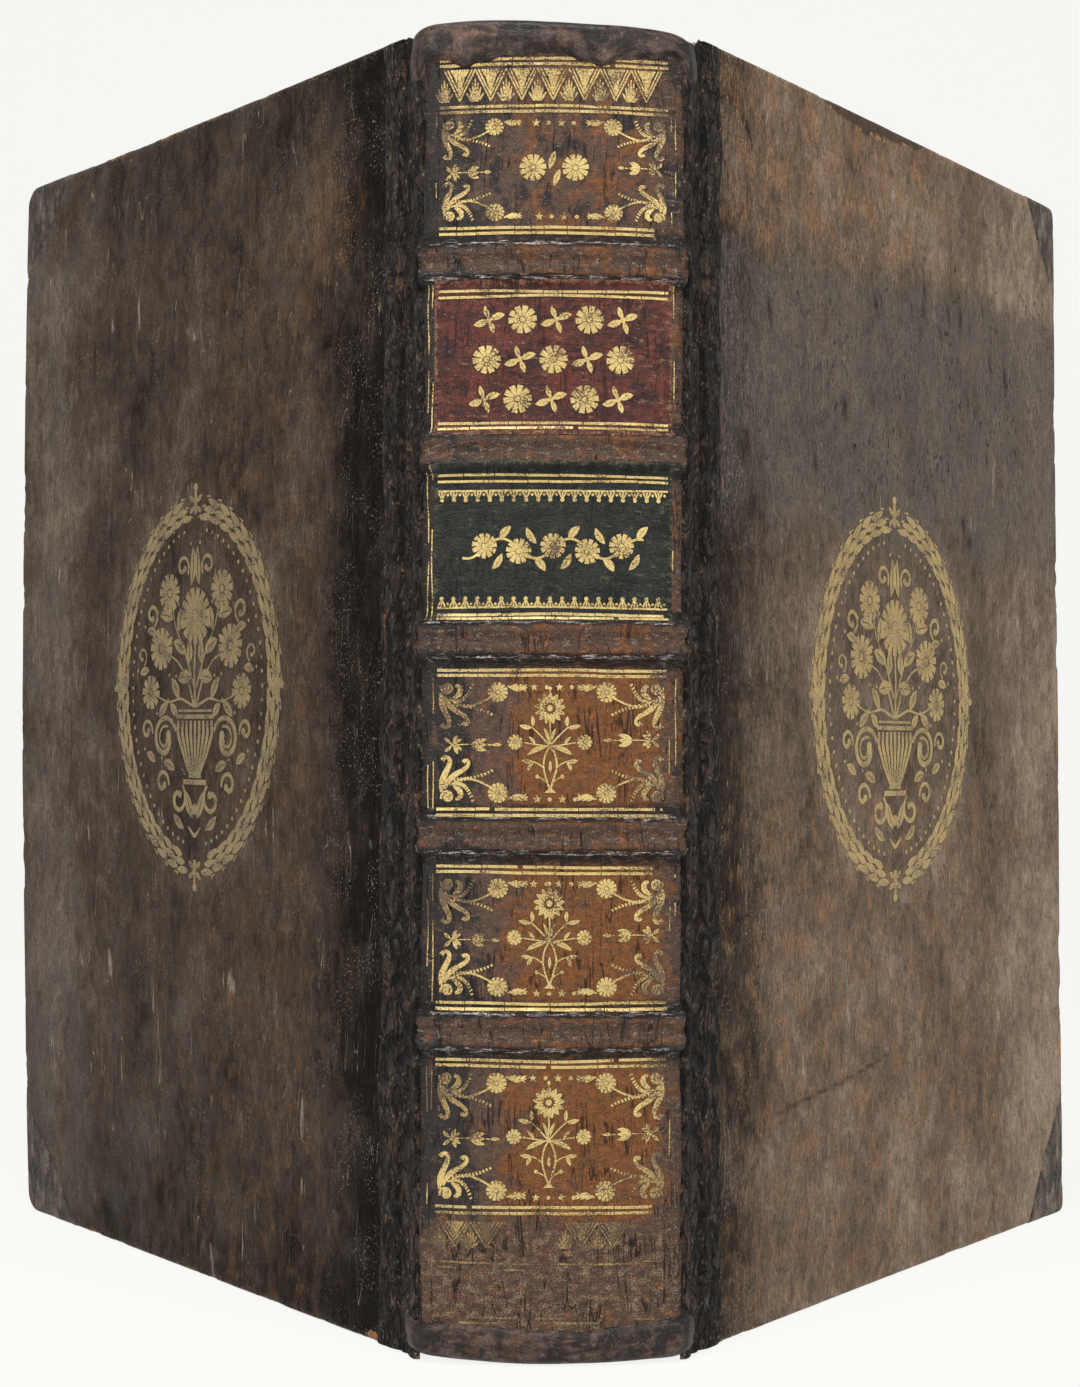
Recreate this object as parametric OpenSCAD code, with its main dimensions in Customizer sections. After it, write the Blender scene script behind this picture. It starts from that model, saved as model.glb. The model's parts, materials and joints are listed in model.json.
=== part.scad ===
// Antique folio in full calf, standing on its tail edge with both covers part open.
// Z runs up the spine, the spine faces -Y, the front cover is on the +X side.
// Each cover turns on the line where its outer face meets the joint.

/* [Text block] */
// Thickness of the text block away from the spine
text_thick = 60; // [40:0.5:90]
// Depth of the leaves from the hinge line to the fore-edge
text_depth = 210.5; // [150:0.5:260]
// How far the concave fore-edge is hollowed
fore_hollow = 3; // [1:0.5:6]
// Thickness of one flyleaf with its paste
flyleaf_thick = 0.3; // [0.2:0.05:0.6]
// Margin of the flyleaves inside the text block's edges
flyleaf_margin = 0.5; // [0.2:0.1:3]

/* [Covers] */
// Height of the covers
cover_height = 333; // [260:1:420]
// Width of a cover from its hinge line to its fore-edge
cover_width = 215; // [160:0.5:270]
// Thickness of the bare board
board_thick = 4; // [3:0.1:6]
// Thickness of the covering leather on the boards
leather_thick = 0.9; // [0.6:0.05:1.4]
// Thickness of the pared turn-ins
turn_in_thick = 0.45; // [0.3:0.05:0.8]
// Width of the turn-ins
turn_in_width = 18; // [10:0.5:28]
// Thickness of the pastedowns
pastedown_thick = 0.3; // [0.2:0.05:0.6]
// Margin of the pastedowns inside the cover's edges
pastedown_margin = 4; // [2:0.5:8]
// Rounding along the edges of the covers
edge_round = 1.5; // [1.1:0.1:2.2]
// Corner radius of the front cover
front_corner_round = 2; // [1.6:0.1:4]
// Corner radius of the worn back cover
back_corner_round = 6; // [3:0.5:9]
// How far the covers reach past the text block at the head and tail
square_margin = 4.5; // [3:0.5:8]

/* [Opening] */
// Angle of each cover from its closed place
open_angle = 38.5; // [0:0.5:120]
// Gap between a closed cover and the flyleaf
closed_gap = 0.3; // [0.3:0.05:1.5]

/* [Spine] */
// How far inside the text block's sides the nearly flat back ends
shoulder_inset = 1; // [0.5:0.1:3]
// Rise of the rounded back across that width
back_rise = 3; // [1.5:0.25:6]
// Gap between the side of the spine and the hinge line
joint_gap = 1.3; // [1.3:0.1:2]
// How far the side of the spine lies in front of the hinge line
shoulder_drop = 0.7; // [0.6:0.1:1.5]
// Thickness of the spine leather
spine_thick = 1; // [0.8:0.1:1.4]
// Thickness of the spine linings
lining_thick = 0.8; // [0.4:0.1:1.2]
// Radius of the leather bead on each hinge line
bead_round = 0.9; // [0.6:0.05:0.95]
// Width of the joint leather laid on each cover
joint_width = 7; // [4:0.5:12]

/* [Bands] */
// Distance of the top band's centre below the head of the covers
head_space = 60.3; // [54:0.1:75]
// Height of the lowest band's centre above the tail
tail_space = 81.9; // [70:0.1:95]
// Extra spacing of the two lowest bands
band_extra = 1.4; // [0:0.1:4]
// Radius of a sewing cord
cord_round = 1.6; // [1.2:0.05:2]
// Half distance between the two cords of a pair
cord_half_pitch = 2.65; // [2.2:0.05:3.2]
// Height of the saddle between the two cords, above the back
saddle_height = 1.5; // [1.1:0.1:1.8]
// Width of the foot where the leather is moulded down beside a band
foot_width = 1; // [0.5:0.1:1.5]

/* [Slips] */
// Length of a slip along its channel in the board
slip_run = 14; // [10:0.5:18]
// Width of a slip
slip_width = 2.6; // [2:0.1:3]
// Depth of a slip's channel in the board
slip_deep = 1.4; // [1:0.1:1.8]
// Radius of the frayed end inside the board
fray_round = 6; // [4:0.5:8]
// Thickness of the frayed end
fray_thick = 0.5; // [0.3:0.05:0.7]

/* [Head and tail] */
// Height of the headcap down the spine
headcap_height = 10.5; // [8:0.5:14]
// Height of the tailcap up the spine
tailcap_height = 8.5; // [7:0.5:12]
// Thickness of the cap leather
cap_thick = 0.8; // [0.6:0.05:1]
// How far the caps lap over the spine leather
cap_lap = 4; // [2:0.5:5]
// Radius of an endband
endband_round = 1.6; // [1.2:0.1:1.7]

/* [Labels] */
// Thickness of the label leather
label_thick = 0.35; // [0.2:0.05:0.6]
// Gap between a label and the moulded foot of a band
label_gap = 0.2; // [0.1:0.05:1]

/* [Gilding] */
// Thickness of the gold tooling
gilt_thick = 0.15; // [0.1:0.01:0.25]
// Width of a gold fillet
fillet_width = 0.5; // [0.3:0.05:0.8]
// Spacing of the two fillets of a pair
fillet_pitch = 1.4; // [1.1:0.1:2]
// Distance of the first fillet from a band's centre
fillet_start = 6.7; // [6.6:0.1:8]
// Height of the tooled roll at the head
head_roll = 8; // [6:0.5:10]
// Space above and below the head roll
head_roll_gap = 0.7; // [0.5:0.1:2]
// Height of the tooled roll at the tail
tail_roll = 7; // [5:0.5:9]
// Space above and below the tail roll
tail_roll_gap = 2.6; // [0.5:0.1:4]
// Number of zigzags in a roll
roll_count = 7; // [5:1:16]
// Height of the plain leather below the tail roll, above the tail
tail_plain = 25; // [18:0.5:32]
// Half width of the oval on each cover
oval_half_width = 46; // [30:0.5:60]
// Half height of the oval on each cover
oval_half_height = 55; // [40:0.5:80]
// Distance of the oval's centre from the hinge line
oval_offset = 103.5; // [70:0.5:130]
// Width of the laurel border
laurel_width = 7; // [4:0.5:10]
// Number of laurel leaves on each half of the border
laurel_count = 22; // [12:1:30]

/* [Corner leather] */
// Height of the front tail corner up the fore-edge
front_tail_rise = 40; // [20:1:60]
// Width of the front tail corner along the tail
front_tail_run = 26; // [15:1:50]
// Height of the front head corner down the fore-edge
front_head_rise = 31; // [20:1:60]
// Width of the front head corner along the head
front_head_run = 22; // [15:1:50]
// Height of the back tail corner up the fore-edge
back_tail_rise = 36; // [20:1:60]
// Width of the back tail corner along the tail
back_tail_run = 35; // [15:1:50]
// Height of the back head corner down the fore-edge
back_head_rise = 30; // [20:1:60]
// Width of the back head corner along the head
back_head_run = 30; // [15:1:50]

/* [Hidden] */
BAND_COUNT = 5;
$fn = 48;
// Small clearances between neighbouring pieces
paste_gap = 0.05;
seat_gap = 0.08;
seam_gap = 0.1;
slip_gap = 0.15;
// Overshoot of a cutting shape
over = 1;

// Cover section, measured inwards from the outer face
core_in = leather_thick;
core_out = leather_thick + board_thick;
shell_thick = core_out + turn_in_thick;
stack_thick = shell_thick + pastedown_thick;

// Hinge lines and text block
text_half = text_thick / 2;
hinge_x = text_half + paste_gap + flyleaf_thick + closed_gap + stack_thick;
text_low = square_margin;
text_high = cover_height - square_margin;
text_height = text_high - text_low;

// Rounded back: one wide arc and a tighter arc at each shoulder
back_half = text_half - shoulder_inset;
back_angle = 2 * atan(back_rise / back_half);
back_round = back_half / sin(back_angle);
shoulder_round = (hinge_x - joint_gap - back_half) / (1 - sin(back_angle));
shoulder_x = (back_round - shoulder_round) * sin(back_angle);
shoulder_y = -shoulder_drop;
arc_y = shoulder_y + (back_round - shoulder_round) * cos(back_angle);
shoulder_turn = 90 - back_angle;

// Depths below the back's outer surface
text_under = spine_thick + lining_thick + 2 * paste_gap;
cord_under = text_under - cord_round - paste_gap;

// Bands: they follow the back and die away round the shoulders
band_rise = cord_round + spine_thick - cord_under;
band_shell = cord_round + spine_thick;
band_half = cord_half_pitch + band_shell;
band_end = 0.2;
band_fade = 25;
band_pitch = (cover_height - head_space - tail_space - 2 * band_extra) / (BAND_COUNT - 1);
band_z = [for (i = [BAND_COUNT - 1:-1:0]) tail_space + i * band_pitch + min(i, 2) * band_extra];

// Middle of the whole book in depth, so that its frame stands at the middle of its box
front_y = arc_y - back_round - band_rise;
lean = 90 - open_angle;
edge_u = cover_width - edge_round;
edge_w = shell_thick - edge_round;
fore_edge_y = edge_u * sin(lean) + edge_w * cos(lean) + edge_round;
back_y = max(text_depth, fore_edge_y);
hinge_y = -(front_y + back_y) / 2;

// Spine heights
cap_low = tailcap_height;
cap_high = cover_height - headcap_height;
leather_low = cap_low - cap_lap;
leather_high = cap_high + cap_lap;
head_line = cap_high - fillet_width;
head_roll_low = head_line - fillet_pitch - head_roll_gap - head_roll;
tail_roll_low = tail_plain + fillet_pitch + tail_roll_gap;
compartment_edge = [
  for (i = [0:BAND_COUNT]) [
    i == BAND_COUNT ? tail_roll_low + tail_roll + tail_roll_gap : band_z[i] + fillet_start,
    i == 0 ? head_roll_low - head_roll_gap : band_z[i - 1] - fillet_start
  ]
];
label_foot = band_half + foot_width + label_gap;
label_edge = [
  [band_z[1] + label_foot, band_z[0] - label_foot],
  [band_z[2] + label_foot, band_z[1] - label_foot]
];

front_slips = [for (i = [1:BAND_COUNT]) str("front_slips_", i)];
back_slips = [for (i = [1:BAND_COUNT]) str("back_slips_", i)];
sewing_cords = [for (i = [1:BAND_COUNT]) str("sewing_cords_", i)];
spine_linings = [for (i = [1:BAND_COUNT + 1]) str("spine_lining_", i)];
gilt_rows = [1, 4, 5, 6];
compartment_gilts = [for (i = gilt_rows) str("compartment_gilt_", i)];

// Rectangle with rounded corners, built from true circles
module round_rect(low, high, r) {
  w = high[0] - low[0];
  h = high[1] - low[1];
  translate(low) {
    translate([r, 0]) square([w - 2 * r, h]);
    translate([0, r]) square([w, h - 2 * r]);
    for (x = [r, w - r]) {
      for (y = [r, h - r]) translate([x, y]) circle(r);
    }
  }
}

// Turns a section of distance from the back's surface and height into the rounded back
module across_back(turn = shoulder_turn) {
  on_back(-back_angle, back_angle) children();
  for (side = [0, 1]) {
    mirror([side, 0, 0])
      translate([shoulder_x, shoulder_y])
        rotate(-90 + back_angle)
          rotate_extrude(angle = turn)
            translate([shoulder_round, 0]) children();
  }
}

// Part of the wide arc only, between two angles from its middle
module on_back(from, to) {
  translate([0, arc_y])
    rotate(-90 + from)
      rotate_extrude(angle = to - from)
        translate([back_round, 0]) children();
}

// The two cords of one band, lying on the back of the text block
module cord_pair(z) {
  on_back(-back_angle, back_angle) {
    for (side = [-1, 1]) translate([-cord_under, z + side * cord_half_pitch]) circle(cord_round);
  }
}

// Outline of the text block seen from the head: rounded back, shoulders and hollow fore-edge
module text_outline() {
  hollow_round = (text_half * text_half + fore_hollow * fore_hollow) / (2 * fore_hollow);
  text_round = shoulder_round - text_under;
  fold_y = shoulder_y - seam_gap;
  difference() {
    translate([-text_half, fold_y - over]) square([text_thick, text_depth - fold_y + over]);
    translate([0, text_depth - fore_hollow + hollow_round]) circle(hollow_round);
  }
  intersection() {
    union() {
      for (side = [-1, 1]) {
        translate([side * shoulder_x, shoulder_y]) circle(text_round);
      }
      back_wedge(back_round - text_under);
    }
    translate([-hinge_x, fold_y - back_half]) square([2 * hinge_x, back_half]);
  }
}

// Sector of the wide arc, between the lines from its centre to the two shoulders
module back_wedge(r) {
  far = back_round * 1.2;
  intersection() {
    translate([0, arc_y]) circle(r);
    polygon([[0, arc_y], [-far * tan(back_angle), arc_y - far], [far * tan(back_angle), arc_y - far]]);
  }
}

module text_block() {
  color("wheat")
    translate([0, hinge_y, text_low]) linear_extrude(text_height) text_outline();
}

module flyleaf(side) {
  inner = text_half + paste_gap;
  low = text_low + flyleaf_margin;
  depth = text_depth - 2 * flyleaf_margin;
  color("antiquewhite")
    translate([side > 0 ? inner : -inner - flyleaf_thick, hinge_y + flyleaf_margin, low])
      cube([flyleaf_thick, depth, text_height - 2 * flyleaf_margin]);
}

module sewing_cords(i) {
  color("tan")
    translate([0, hinge_y, 0]) cord_pair(band_z[i]);
}

// One lining fills the space between two bands, or from the last band to the cap
module spine_lining(i) {
  low = i == BAND_COUNT ? text_low : band_z[i] + band_half;
  high = i == 0 ? text_high : band_z[i - 1] - band_half;
  color("beige")
    translate([0, hinge_y, 0])
      across_back(shoulder_turn * 0.8)
        translate([-spine_thick - paste_gap - lining_thick, low])
          square([lining_thick, high - low]);
}

// Stations across the back: the side they are on (0 on the wide arc) and their angle
arc_steps = 5;
shoulder_steps = 7;
stations = concat(
  [for (i = [shoulder_steps:-1:1]) [-1, back_angle + shoulder_turn * i / shoulder_steps]],
  [for (i = [-arc_steps:arc_steps]) [0, back_angle * i / arc_steps]],
  [for (i = [1:shoulder_steps]) [1, back_angle + shoulder_turn * i / shoulder_steps]]
);

// Place across the back of a point at a given height over its surface
function wrap(at, rise) = at[0] == 0
  ? [(back_round + rise) * sin(at[1]), arc_y - (back_round + rise) * cos(at[1])]
  : [at[0] * (shoulder_x + (shoulder_round + rise) * sin(at[1])),
    shoulder_y - (shoulder_round + rise) * cos(at[1])];

// Share of a band's height that is left at a station
function fade(at) = at[0] == 0 ? 1
  : 1 - (1 - band_end / band_rise) * ease((at[1] - band_fade) / (90 - band_fade));
function ease(t) = t < 0 ? 0 : t * t * (3 - 2 * t);

// One row of the leather's section: rise and height of its outer point, then of its inner point
function plain_row(z) = [0, z, -spine_thick, z];
function ridge_row(z, a) = [
  band_shell * sin(a) - cord_under, z + band_shell * cos(a),
  cord_seat * sin(a) - cord_under, z + cord_seat * cos(a)
];
ridge_step = 30;
cord_seat = (cord_round + seat_gap) / cos(ridge_step / 2);
function band_rows(z) = concat(
  [plain_row(z - band_half - foot_width)],
  [for (a = [155:-ridge_step:65]) ridge_row(z - cord_half_pitch, a)],
  [[saddle_height, z, saddle_height - spine_thick, z]],
  [for (a = [115:-ridge_step:25]) ridge_row(z + cord_half_pitch, a)],
  [plain_row(z + band_half + foot_width)]
);
section_rows = concat(
  [plain_row(leather_low)],
  [for (i = [BAND_COUNT - 1:-1:0]) for (row = band_rows(band_z[i])) row],
  [plain_row(leather_high)]
);

// The spine leather: one skin moulded over the back, the bands and the shoulders
module spine_leather() {
  across = len(stations);
  up = len(section_rows);
  outer = [for (row = section_rows) for (at = stations)
    concat(wrap(at, row[0] * fade(at)), row[1])];
  inner = [for (row = section_rows) for (at = stations)
    concat(wrap(at, (row[2] + spine_thick) * fade(at) - spine_thick), row[3])];
  skin = up * across;
  faces = concat(
    [for (r = [0:up - 2]) for (c = [0:across - 2]) for (f = quad(r * across + c, across, 1)) f],
    [for (r = [0:up - 2]) for (c = [0:across - 2]) for (f = quad(skin + r * across + c, 1, across)) f],
    [for (c = [0:across - 2]) for (e = [[c, 1], [skin - c - 1, -1]])
      for (f = quad(e[0], e[1], skin)) f],
    [for (r = [0:up - 2]) for (e = [[(r + 1) * across, -across], [(r + 1) * across - 1, across]])
      for (f = quad(e[0], e[1], skin)) f]
  );
  color("saddlebrown")
    translate([0, hinge_y, 0]) polyhedron(concat(outer, inner), faces);
}

// Two triangles from a corner and the steps along its two edges
function quad(at, a, b) = [[at, at + a, at + a + b], [at, at + a + b, at + b]];

// Section of a cap seen upwards from its lap: wall, round top and the lip behind the endband
function cap_section(height) =
  let (
    face = paste_gap + cap_thick,
    top_round = 2 * cap_thick + endband_round / 2,
    lip_in = text_under + 2 * endband_round + 2 * cap_thick + 3 * seam_gap,
    lip_low = height - cap_thick - endband_round,
    lap_top = cap_lap + seam_gap
  )
  concat(
    [[paste_gap, 0], [face, 0]],
    [for (a = [0:15:90]) [face - top_round, height - top_round] + top_round * unit(a)],
    [[cap_thick / 2 - lip_in, height], [-lip_in, height - cap_thick / 2]],
    [[-lip_in, lip_low], [cap_thick - lip_in, lip_low]],
    [[cap_thick - lip_in, height - cap_thick], [-spine_thick, height - cap_thick]],
    [[-spine_thick, lap_top], [paste_gap, lap_top]]
  );

// Carries a closed section of rise and height across the back, ending clear of both joints
module cap_across(section) {
  n = len(section);
  last = len(stations) - 3;
  points = [for (i = [1:len(stations) - 2]) for (p = section) concat(wrap(stations[i], p[0]), p[1])];
  sides = [for (k = [0:last - 1]) for (i = [0:n - 1])
    for (f = band_quad(k * n + i, k * n + (i + 1) % n, n)) f];
  ends = [[for (i = [0:n - 1]) i], [for (i = [n - 1:-1:0]) last * n + i]];
  polyhedron(points, concat(sides, ends));
}

// Two triangles between neighbouring corners of two sections
function band_quad(a, b, n) = [[a, a + n, b + n], [a, b + n, b]];

module headcap() {
  color("#3a2a22")
    translate([0, hinge_y, cap_high]) cap_across(cap_section(headcap_height));
}

module tailcap() {
  color("#3a2a22")
    translate([0, hinge_y, cap_low])
      mirror([0, 0, 1]) cap_across(cap_section(tailcap_height));
}

module endband(z) {
  color("peru")
    translate([0, hinge_y, z])
      on_back(-back_angle, back_angle)
        translate([-text_under - endband_round, 0]) circle(endband_round);
}

module label(i, shade) {
  edge = label_edge[i];
  color(shade)
    translate([0, hinge_y, 0])
      on_back(-back_angle, back_angle)
        translate([paste_gap, edge[0]]) square([label_thick, edge[1] - edge[0]]);
}

// Gold shapes drawn flat in width and height, wrapped on the back or on a label there
module gild_back(low, high, base = 0) {
  intersection() {
    on_back(-back_angle, back_angle)
      translate([base + paste_gap, low]) square([gilt_thick, high - low]);
    rotate([90, 0, 0]) linear_extrude(back_half) children();
  }
}

// Angle from the middle of the back to the outermost gold line
line_angle = back_angle * 0.97;
function unit(a) = [cos(a), sin(a)];

// A strip that follows part of a circle and tapers to its end
function curl(r, from, to, wide, steps = 6) = concat(
  [for (i = [0:steps]) (r + wide * (1 - 0.7 * i / steps) / 2) * unit(from + (to - from) * i / steps)],
  [for (i = [steps:-1:0]) (r - wide * (1 - 0.7 * i / steps) / 2) * unit(from + (to - from) * i / steps)]
);

// A pointed leaf or petal from its root along X
module leaf(long, wide) {
  polygon([[0, 0], [long * 0.45, wide / 2], [long, 0], [long * 0.45, -wide / 2]]);
}

// Two leaves from one root, to the left and to the right
module leaf_pair(long, wide) {
  for (side = [0, 180]) rotate(side) translate([long * 0.2, 0]) leaf(long, wide);
}

module blossom(r, petals) {
  for (i = [0:petals - 1]) {
    rotate(i * 360 / petals) translate([r * 0.4, 0]) leaf(r * 0.6, r * 0.34);
  }
  circle(r * 0.28, $fn = 16);
}

// A plant with one blossom on top, crossing stems, two side florets and a small base
module plant() {
  translate([0, 9.4]) blossom(4.2, 12);
  translate([-0.25, -10.5]) square([0.5, 16]);
  for (side = [0, 1]) {
    mirror([side, 0]) {
      translate([8.2, 1.2]) blossom(2.2, 7);
      translate([4.6, -5.4]) polygon(curl(5.2, 180, 60, 0.7));
      translate([0, -1]) rotate(38) translate([0.8, 0]) leaf(5, 1.8);
      translate([0, 2.4]) rotate(50) translate([0.6, 0]) leaf(3.6, 1.5);
      translate([0, -5.6]) rotate(22) translate([0.6, 0]) leaf(4.6, 1.6);
      translate([0, -9.6]) rotate(12) leaf(3.2, 1.4);
    }
  }
}

// Height of the field that the sprays and the plant are drawn for
ornament_height = 32.2;

// Spray for one corner of a compartment, growing from the corner along both edges
module corner_spray() {
  translate([4.6, 4.6]) polygon(curl(3.9, 250, 30, 1.2));
  translate([4.8, 4.4]) polygon(curl(2.2, 220, -60, 0.9));
  translate([8.6, 2.4]) polygon(curl(2.9, 190, 20, 0.9));
  translate([2.3, 8.8]) polygon(curl(2.9, -100, 70, 0.9));
  translate([13.6, 3.2]) blossom(2.3, 8);
  translate([10.2, 5.6]) rotate(35) leaf(3.4, 1.5);
  translate([4.4, 11.6]) rotate(60) leaf(3, 1.5);
}

// Bud on a stalk at the middle of a compartment's side
module side_bud() {
  translate([1.4, -0.2]) square([4.4, 0.4]);
  translate([5.4, 0]) leaf(3.6, 2.4);
  for (side = [-1, 1]) translate([2.2, 0]) rotate(side * 42) leaf(2.6, 1.1);
}

module star(r) {
  for (i = [0:4]) rotate(90 + i * 72) leaf(r, r * 0.55);
}

// Row of stars and dots, alternating
module star_row(count, pitch) {
  for (i = [0:count - 1]) {
    x = (i - (count - 1) / 2) * pitch;
    translate([x, 0]) {
      if (i % 2 == 0) circle(0.45, $fn = 16);
      else star(1.1);
    }
  }
}

module compartment_gilt(i) {
  low = compartment_edge[i][0] + fillet_pitch;
  high = compartment_edge[i][1] - fillet_pitch;
  middle = (low + high) / 2;
  fit = (high - low) / ornament_height;
  row_in = 2 * fit;
  spray_in = 0.6 * fit;
  side_in = 2.5 * fillet_pitch;
  color("gold")
    translate([0, hinge_y, 0])
      gild_back(low, high) {
        for (x = [0, 1]) {
          for (z = [0, 1]) {
            mirror([x, 0]) translate([-back_half + side_in, z ? high - spray_in : low + spray_in])
              mirror([0, z]) scale([1, fit]) corner_spray();
          }
          mirror([x, 0]) translate([-back_half + side_in, middle]) scale([1, fit]) side_bud();
        }
        for (z = [low + row_in, high - row_in]) translate([0, z]) scale([1, fit]) star_row(5, 3);
        if (i > 0) translate([0, middle]) scale([1, fit]) plant();
      }
}

// A ring around the back at one height
module gilt_line(z, base = 0) {
  on_back(-line_angle, line_angle)
    translate([base + paste_gap, z - fillet_width / 2]) square([gilt_thick, fillet_width]);
}

// Two upright fillets along one edge of a compartment
module upright_lines(low, high) {
  step = fillet_pitch / back_round * 180 / PI;
  half_step = fillet_width / back_round * 90 / PI;
  for (side = [-1, 1]) {
    for (i = [0, 1]) {
      middle = side * (line_angle - i * step - half_step);
      on_back(middle - half_step, middle + half_step)
        translate([paste_gap, low]) square([gilt_thick, high - low]);
    }
  }
}

module spine_fillets() {
  color("gold")
    translate([0, hinge_y, 0]) {
      for (i = [0:BAND_COUNT]) {
        labelled = i == 1 || i == 2;
        base = labelled ? label_thick : 0;
        inset = labelled ? fillet_pitch / 2 : 0;
        low = compartment_edge[i][0] + inset;
        high = compartment_edge[i][1] - inset;
        for (z = [low, low + fillet_pitch, high, high - fillet_pitch]) gilt_line(z, base);
        rule_end = fillet_pitch + fillet_width / 2 + paste_gap;
        if (!labelled) upright_lines(low + rule_end, high - rule_end);
      }
      for (z = [head_line, tail_plain + fillet_pitch, cap_low + 2 * fillet_pitch]) {
        gilt_line(z);
        gilt_line(z - fillet_pitch);
      }
    }
}

// Zigzag of thin strokes with a leaf in each point
module zigzag(height) {
  pitch = 2 * (back_half - 2 * fillet_pitch) / roll_count;
  thin = fillet_width;
  for (i = [0:roll_count - 1]) {
    translate([(i - roll_count / 2) * pitch, 0]) {
      polygon([[0, 0], [thin, 0], [pitch / 2 + thin / 2, height], [pitch / 2 - thin / 2, height]]);
      polygon([[pitch - thin, 0], [pitch, 0], [pitch / 2 + thin / 2, height],
        [pitch / 2 - thin / 2, height]]);
      translate([pitch / 2, height * 0.08]) rotate(90) leaf(height * 0.42, pitch * 0.3);
    }
  }
}

module spine_rolls() {
  color("gold")
    translate([0, hinge_y, 0])
      for (roll = [[head_roll_low, head_roll], [tail_roll_low, tail_roll]]) {
        gild_back(roll[0], roll[0] + roll[1]) translate([0, roll[0]]) zigzag(roll[1]);
      }
}

// Plain ornament on the two labels: three rows of leaves on one, a running vine on the other
module label_gilt() {
  title = label_edge[0];
  second = label_edge[1];
  title_mid = (title[0] + title[1]) / 2;
  second_mid = (second[0] + second[1]) / 2;
  fit = (title[1] - title[0]) / ornament_height;
  row_pitch = (title[1] - title[0]) / 4;
  title_pitch = back_half / 4.5;
  vine_pitch = back_half / 3.4;
  color("gold")
    translate([0, hinge_y, 0]) {
      gild_back(title[0], title[1], label_thick) {
        for (row = [-1, 0, 1]) {
          for (i = [-3:3]) {
            translate([i * title_pitch, title_mid + row * row_pitch])
              scale(fit) {
                if ((i + row) % 2 == 0) blossom(2, 6);
                else leaf_pair(2.2, 1.5);
              }
          }
        }
      }
      gild_back(second[0], second[1], label_thick) {
        for (i = [-2:2]) {
          translate([i * vine_pitch, second_mid])
            scale(fit) {
              blossom(2.6, 8);
              translate([4.3, 0]) rotate(i % 2 == 0 ? 55 : -55) leaf(4.2, 1.6);
            }
        }
      }
    }
}

// Places a shape in a cover: X runs from the hinge line to the fore-edge, Y inwards
module in_cover(side) {
  mirror([side > 0 ? 0 : 1, 0, 0])
    translate([hinge_x, hinge_y, 0])
      rotate(lean) children();
}

// Covered board as one block with rounded edges, or the core a leather's thickness inside it
module cover_block(inset, from, to, corner) {
  edge = max(edge_round - inset, 0.2);
  start = joint_width / 2;
  intersection() {
    rotate([90, 0, 0])
      mirror([0, 0, 1])
        translate([0, 0, from])
          linear_extrude(to - from)
            round_rect([-2 * corner, inset], [cover_width - inset, cover_height - inset],
              max(corner - inset, 0.2));
    translate([0, 0, inset])
      linear_extrude(cover_height - 2 * inset)
        round_rect([-start, from], [cover_width - inset, to], edge);
    translate([-start, 0, 0])
      rotate([90, 0, 90])
        linear_extrude(cover_width + start)
          round_rect([from, inset], [to, cover_height - inset], edge);
  }
}

function corner_of(side) = side > 0 ? front_corner_round : back_corner_round;
// Where the board and its leather begin, clear of the hinge line
board_start = bead_round + seam_gap;

module cover_core(side) {
  intersection() {
    cover_block(leather_thick, core_in, core_out, corner_of(side));
    translate([board_start, 0, 0]) cube([cover_width, stack_thick, cover_height]);
  }
}

// The leather all round one board, with its turn-ins and the open field inside them
module cover_shell(side) {
  difference() {
    intersection() {
      cover_block(0, 0, shell_thick, corner_of(side));
      translate([0, -over, 0]) cube([cover_width, stack_thick + over, cover_height]);
    }
    cover_core(side);
    translate([-over, core_in, 0])
      cube([board_start + over, stack_thick, cover_height]);
    translate([-over, core_out - seam_gap / 2, turn_in_width])
      cube([cover_width - turn_in_width + over, turn_in_thick + over, cover_height - 2 * turn_in_width]);
  }
}

// Field of a corner patch, cut slantwise from the fore-edge to the head or tail
module corner_field(side, head, gap = 0) {
  rise = side > 0 ? (head ? front_head_rise : front_tail_rise)
    : (head ? back_head_rise : back_tail_rise);
  run = side > 0 ? (head ? front_head_run : front_tail_run)
    : (head ? back_head_run : back_tail_run);
  grown_rise = rise + gap;
  grown_run = run + gap;
  rotate([90, 0, 0])
    mirror([0, 0, 1])
      translate([0, 0, -over])
        linear_extrude(stack_thick + 2 * over)
          translate([cover_width, head ? cover_height : 0])
            mirror([0, head ? 1 : 0])
              polygon([[over, -over], [over, grown_rise], [0, grown_rise],
                [-grown_run * 0.55, grown_rise * 0.52], [-grown_run, 0], [-grown_run, -over]]);
}

module board(side) {
  color("burlywood")
    in_cover(side)
      difference() {
        cover_core(side);
        for (z = band_z) slip_pair(z, slip_gap);
      }
}

module cover_leather(side) {
  color("#4b3527")
    in_cover(side)
      difference() {
        cover_shell(side);
        for (head = [false, true]) corner_field(side, head, seam_gap);
        translate([-over, -over, -over])
          cube([joint_width + seam_gap + over, leather_thick + over + seam_gap / 2,
            cover_height + 2 * over]);
      }
}

module cover_corner(side, head) {
  color("#2f2521")
    in_cover(side)
      intersection() {
        cover_shell(side);
        corner_field(side, head);
      }
}

// Repair leather along the joint: a round bead on the hinge line and a flat strip on the board
module joint_leather(side) {
  end = edge_round / 3;
  color("#33241f")
    in_cover(side)
      translate([0, 0, end]) {
        cylinder(h = cover_height - 2 * end, r = bead_round);
        cube([joint_width, leather_thick - seam_gap / 2, cover_height - 2 * end]);
      }
}

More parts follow.
